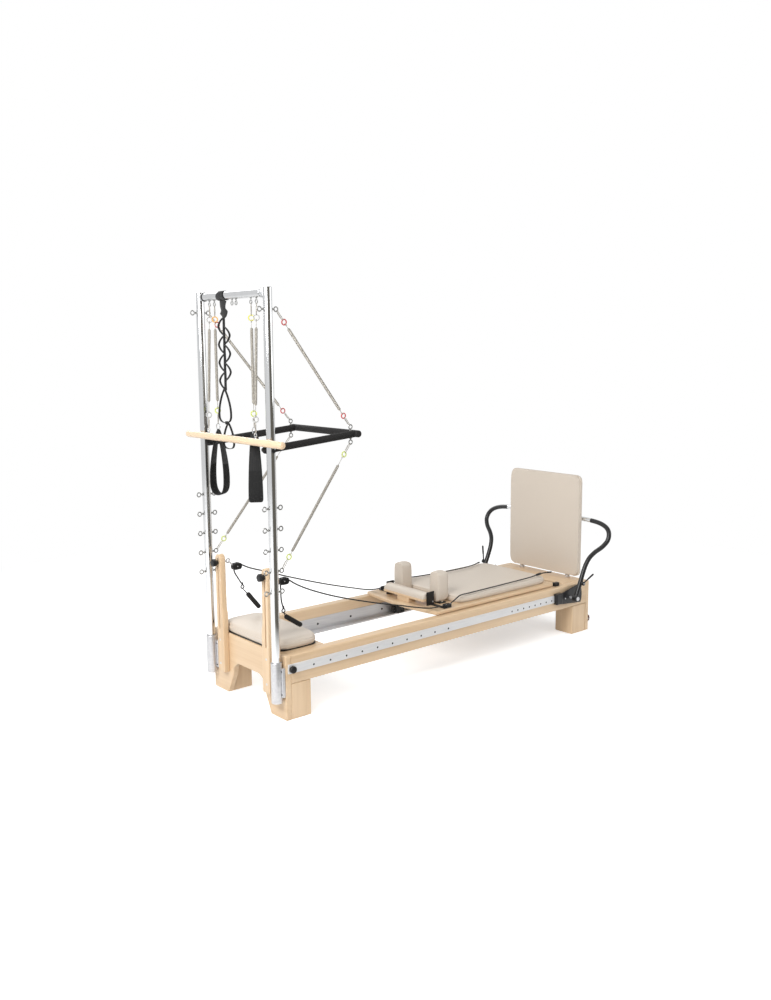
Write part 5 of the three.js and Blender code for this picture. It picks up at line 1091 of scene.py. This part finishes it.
# Rope guides. Black moulded guides screwed to the deck, with a cheek on either side of the rope.
# The tall inner plate of each carries one hinge pin of the headrest.
guide_boxes = (
    ((1.084, 0.1703, 0.3433), (1.108, 0.283, 0.3480), 0.001, 0.003),
    ((1.052, 0.1703, 0.3436), (1.108, 0.1753, 0.4198), 0.0012, 0.002),
    ((1.095, 0.2530, 0.3434), (1.141, 0.2830, 0.3525), 0.0015, 0.006),
    ((1.095, 0.2530, 0.3500), (1.141, 0.2630, 0.3631), 0.003, 0.004),
    ((1.095, 0.2731, 0.3500), (1.141, 0.2830, 0.3631), 0.003, 0.004),
)
for side, way in sides:
    skins = [(block(np.multiply(a, (1, way, 1)), np.multiply(b, (1, way, 1)), edge, corner), 0)
             for a, b, edge, corner in guide_boxes]
    skins.append((round_bar((1.096, way * 0.1635, 0.362), (1.096, way * 0.1775, 0.362), 0.004), 1))
    for x in (1.102, 1.134):
        skins.append((turned((x, way * 0.2780, 0.3628), (0, 0, 1), [
            (0, 0.0028), (0.0004, 0.003), (0.0008, 0.0024)], 12), 1))
    piece(f"rope_guide_{side}", skins, [black_plastic, satin], "carriage", f"rope_cleat_{side}")

# Carriage springs. Four close-wound springs hooked between the anchor beam under the deck and
# a steel bar on the foot board.
hook_spot, hook_bar_spot, hook_height, hook_length = 1.5605, 2.236, 0.250, 0.024
skins = []
for y in (-0.117, -0.039, 0.039, 0.117):
    a, b = np.array((hook_spot, y, hook_height)), np.array((hook_bar_spot, y, hook_height))
    coil_start, coil_end = a + (b - a) * 0.03, a + (b - a) * 0.97
    one_axis, other_axis = np.array((0, 1, 0)), np.array((0, 0, 1))
    skins += [
        (helix(coil_start, coil_end, one_axis, other_axis, 0.0073, 0.0016, 196, 0.15), 0),
        (round_bar(a, a + (hook_length, 0, 0), 0.0032, 10), 0),
        (round_bar(b - (hook_length, 0, 0), b + (0.001, 0, 0), 0.0032, 10), 0)]
skins.append((block((2.2358, -0.1555, 0.2365), (2.2496, 0.1555, 0.2635)), 1))
made = piece("carriage_spring_set", skins, [spring_steel, satin], None, "carriage_springs",
             50)
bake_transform(made)

# Foot-bar brackets. Black sector plates with lock holes, on a packing piece bolted to the rail,
# with the pivot pin and its cap; a block closes the end of the track.
black_paint = worn("black_paint", (0.018, 0.018, 0.019), (0.011, 0.011, 0.012), 0.32, 320, 0.00005,
                   spread=0.05)
pivot_x, pivot_z, arm_way, packing_way = 2.074, 0.250, 0.397, 0.3354
arc = np.linspace(-0.44, 0.68, 26)
plate_line = np.concatenate([
    [(-0.118, -0.0277), (0.0504, -0.0436)], 0.112 * np.stack([np.cos(arc), np.sin(arc)], axis=1),
    [(-0.118, 0.0277)]]) + (pivot_x, pivot_z)
for side, way in sides:
    skins = [
        (slab(plate_line, way * 0.3491, way * 0.3549, 0.0012, "y", 0.0005), 0),
        (block((pivot_x - 0.059, way * packing_way, 0.228), (pivot_x + 0.059, way * 0.3495, 0.272)), 0),
        (block((1.9407, way * packing_way, 0.2236), (1.9965, way * 0.3649, 0.2894), 0.004, 0.006), 0),
        (turned((pivot_x, way * 0.353, pivot_z), (0, way, 0), [
            (0, 0.0078), (0.0584, 0.0078), (0.0586, 0.0122), (0.0595, 0.0128), (0.063, 0.0128),
            (0.0642, 0.0118), (0.0643, 0.004)], 24), 2)]
    # The lock holes: shallow near-black cups, painted shade for the depth of each hole.
    for a in np.linspace(-0.34, 0.56, 5):
        skins.append((turned(
            (pivot_x + 0.094 * math.cos(a), way * 0.3540, pivot_z + 0.094 * math.sin(a)), (0, way, 0),
            [(0, 0.0045), (0.0011, 0.0052), (0.0012, 0.004), (0.0004, 0.0036), (0.0004, 0.001)], 16), 1))
    for x in (pivot_x - 0.045, pivot_x + 0.03):
        skins.append((turned((x, way * 0.3545, pivot_z - 0.001), (0, way, 0), [
            (0, 0.0052), (0.0018, 0.0052), (0.0026, 0.004), (0.0028, 0.001)], 16), 2))
    piece(f"foot_bar_plate_{side}", skins, [black_paint, hole_shade_and_screw_black, satin], "frame", f"foot_bracket_{side}")

# Foot bar. One bent black steel tube that bows out from both pivots, with a bare polished
# length across the top, a welded hub on each arm and a lever pin.
run, rise, bow_way, bar_way, bar_lean = 0.198, 0.450, 0.508, 0.350, (1, 0, 0.4)
shares = [(0, 0), (0.18, 0), (0.36, 0), (0.44, 0.03), (0.53, 0.14), (0.61, 0.38), (0.70, 0.78), (0.79, 0.99),
          (0.87, 0.95), (0.93, 0.75), (0.975, 0.32)]
arm = [(pivot_x + run * up, arm_way + (bow_way - arm_way) * out, pivot_z + rise * up) for up, out in shares]
arm += [(pivot_x + run, bar_way, pivot_z + rise), (pivot_x + run, bar_way / 3, pivot_z + rise)]
path = smooth_path([(x, -y, z) for x, y, z in arm] + arm[::-1], 300)
middle = np.abs(path[:, 1]) < bar_way
skins = [(sweep(path, circle(0.0139, 24), bar_lean), 0),
         (sweep(path[middle], circle(0.01396, 24), bar_lean), 1)]
lean, lever_reach = math.atan2(run, rise), 0.098
lever_x, lever_z = pivot_x + lever_reach * math.sin(lean), pivot_z + lever_reach * math.cos(lean)
for way in (-1, 1):
    skins += [
        (turned((pivot_x, way * (arm_way - 0.014), pivot_z), (0, way, 0), capped([
            (0, 0.0082), (0, 0.0195), (0.0015, 0.021)], 0.028), 32), 0, True),
        (round_bar((lever_x, way * (arm_way + 0.008), lever_z), (lever_x, way * 0.4289, lever_z), 0.0044), 2)]
piece("bent_foot_bar", skins, [black_paint, chrome, satin], "foot_bar", "foot_bar", 40)

# Locking levers. Black plastic levers that turn on a pin through each arm of the foot bar; the
# right one lies low and the left one stands up.
for side, way, turn in (("right", -1, 0.42), ("left", 1, 1.66)):
    aim = np.array([math.cos(turn), 0, math.sin(turn)])
    start = np.array((lever_x, way * 0.4201, lever_z))
    skins = [
        (turned((lever_x, way * 0.4117, lever_z), (0, way, 0), [
            (0, 0.0046), (0, 0.0105), (0.0015, 0.012), (0.0155, 0.012), (0.0168, 0.0105),
            (0.0168, 0.0046)], 24), 0, True),
        (turned(start + aim * 0.0085, aim, [
            (0, 0.0042), (0.035, 0.0042), (0.042, 0.0045), (0.048, 0.0056), (0.092, 0.0058), (0.097, 0.005),
            (0.0995, 0.003)], 14), 0)]
    piece(f"lock_lever_{side}", skins, [black_plastic], f"foot_lever_{side}", f"foot_lever_{side}",
          40)

# Jump board. A board covered in the same leather, a little darker, padded in front with a boxed
# cushion that has a piped edge. It stands on two steel pegs with collars.
jump_low, jump_high, jump_half, jump_corner, jump_thick = 0.337, 0.976, 0.288, 0.044, 0.0212
peg_x, peg_way = 2.2455, 0.19
board_line = filleted(rectangle((-jump_half, jump_low), (jump_half, jump_high)), jump_corner, 10)
pad = cushion(jump_high - jump_low, 2 * jump_half, jump_thick, 0.006, jump_corner, 0.005, 200, 0.0006)
skins = [(slab(board_line, 2.2374, 2.2538, 0.003, "x"), 1),
         (standing(pad, jump_thick, (2.2200, 0, (jump_low + jump_high) / 2)), 0)]
for y in (-peg_way, peg_way):
    skins += [(round_bar((peg_x, y, 0.255), (peg_x, y, 0.343), 0.0087, 16), 2),
              (turned((peg_x, y, 0.3203), (0, 0, 1), capped([(0, 0.014), (0.001, 0.015)], 0.0165), 24), 2)]
leather_edge = worn("leather_welt", (0.67, 0.595, 0.51), (0.59, 0.52, 0.44), 0.42, 900, 0.0001)
made = piece("padded_jump_board", skins, [leather, leather_edge, satin], "jump_board", "jump_board",
             40)

# Transport wheels. Dark red rubber wheels on a steel axle across the foot end, held by two small
# brackets with two bolts each.
rubber = worn("red_rubber", (0.13, 0.035, 0.030), (0.08, 0.024, 0.020), 0.6, 140, 0.00015)
axle_x, axle_z, axle_half, bracket_low, bracket_high = 2.304, 0.064, 0.3163, 0.0473, 0.0807
skins = [(round_bar((axle_x, -axle_half, axle_z), (axle_x, axle_half, axle_z), 0.0049, 14, 0.001), 0)]
for way in (-1, 1):
    skins += [
        (block((2.2804, way * 0.2834, bracket_low), (2.3122, way * 0.2884, bracket_high), 0.001, 0.004), 0),
        (block((2.2803, way * 0.2550, bracket_low), (2.2851, way * 0.2883, bracket_high), 0.0008, 0.001), 0)]
    for z in (0.056, 0.072):
        skins.append((turned((2.2850, way * 0.2700, z), (1, 0, 0), [
            (0, 0.004), (0.0012, 0.004), (0.002, 0.003), (0.0021, 0.001)], 12), 0))
piece("axle_rod", skins, [satin], "frame", "roller_axle")
roller_width = 0.0216
roller_profile = capped([
    (0, 0.0055), (0, 0.010), (0.0023, 0.011), (0.0023, 0.017), (0, 0.018), (0, 0.0215), (0.0018, 0.0232),
    (0.0046, 0.0239)], roller_width)
for side, way in sides:
    grid = turned((axle_x, way * 0.300 - roller_width / 2, axle_z), (0, 1, 0), roller_profile, 36)
    piece(f"transport_wheel_{side}", [(grid, 0, True)], [rubber], f"roller_{side}", f"roller_{side}")

# Hand loops. A black ring under the rope's end, and two webbing straps that hang from it and
# carry a foam-covered grip.
grips = {
    "right": ((0.084, -0.215, 0.478), (0.180, -0.209, 0.413)),
    "left": ((0.138, 0.214, 0.500), (0.205, 0.206, 0.414)),
}
for side, grip in grips.items():
    x, y, z = rope_ends[side]
    hook, hook_reach = z - 0.0123, 0.009
    first, second = np.array(grip)
    skins = [
        (ring((x, y, hook), hook_reach, 0.0030, "y", 20, 8), 1, True),
        (turned((x, y, z - 0.0028), (0, 0, 1), [
            (0, 0.0036), (0.001, 0.0044), (0.012, 0.0044), (0.013, 0.0037)], 14), 1)]
    for end in (first, second):
        path = np.linspace((x, y, hook - hook_reach), end, 12)
        skins.append((sweep(path, flat_section(0.0036, 0.0062), (0, 1, 0.05)), 0))
    grip_ends = [(0, 0.006), (0.0015, 0.0095), (0.005, 0.0117), (0.009, 0.012)]
    skins.append((turned(first, second - first, capped(grip_ends, np.linalg.norm(second - first)), 20), 2))
    piece(f"hand_strap_{side}", skins, [webbing, black_plastic, foam], "frame", f"hand_loop_{side}",
          50)

# The sizes of the whole
low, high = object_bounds()
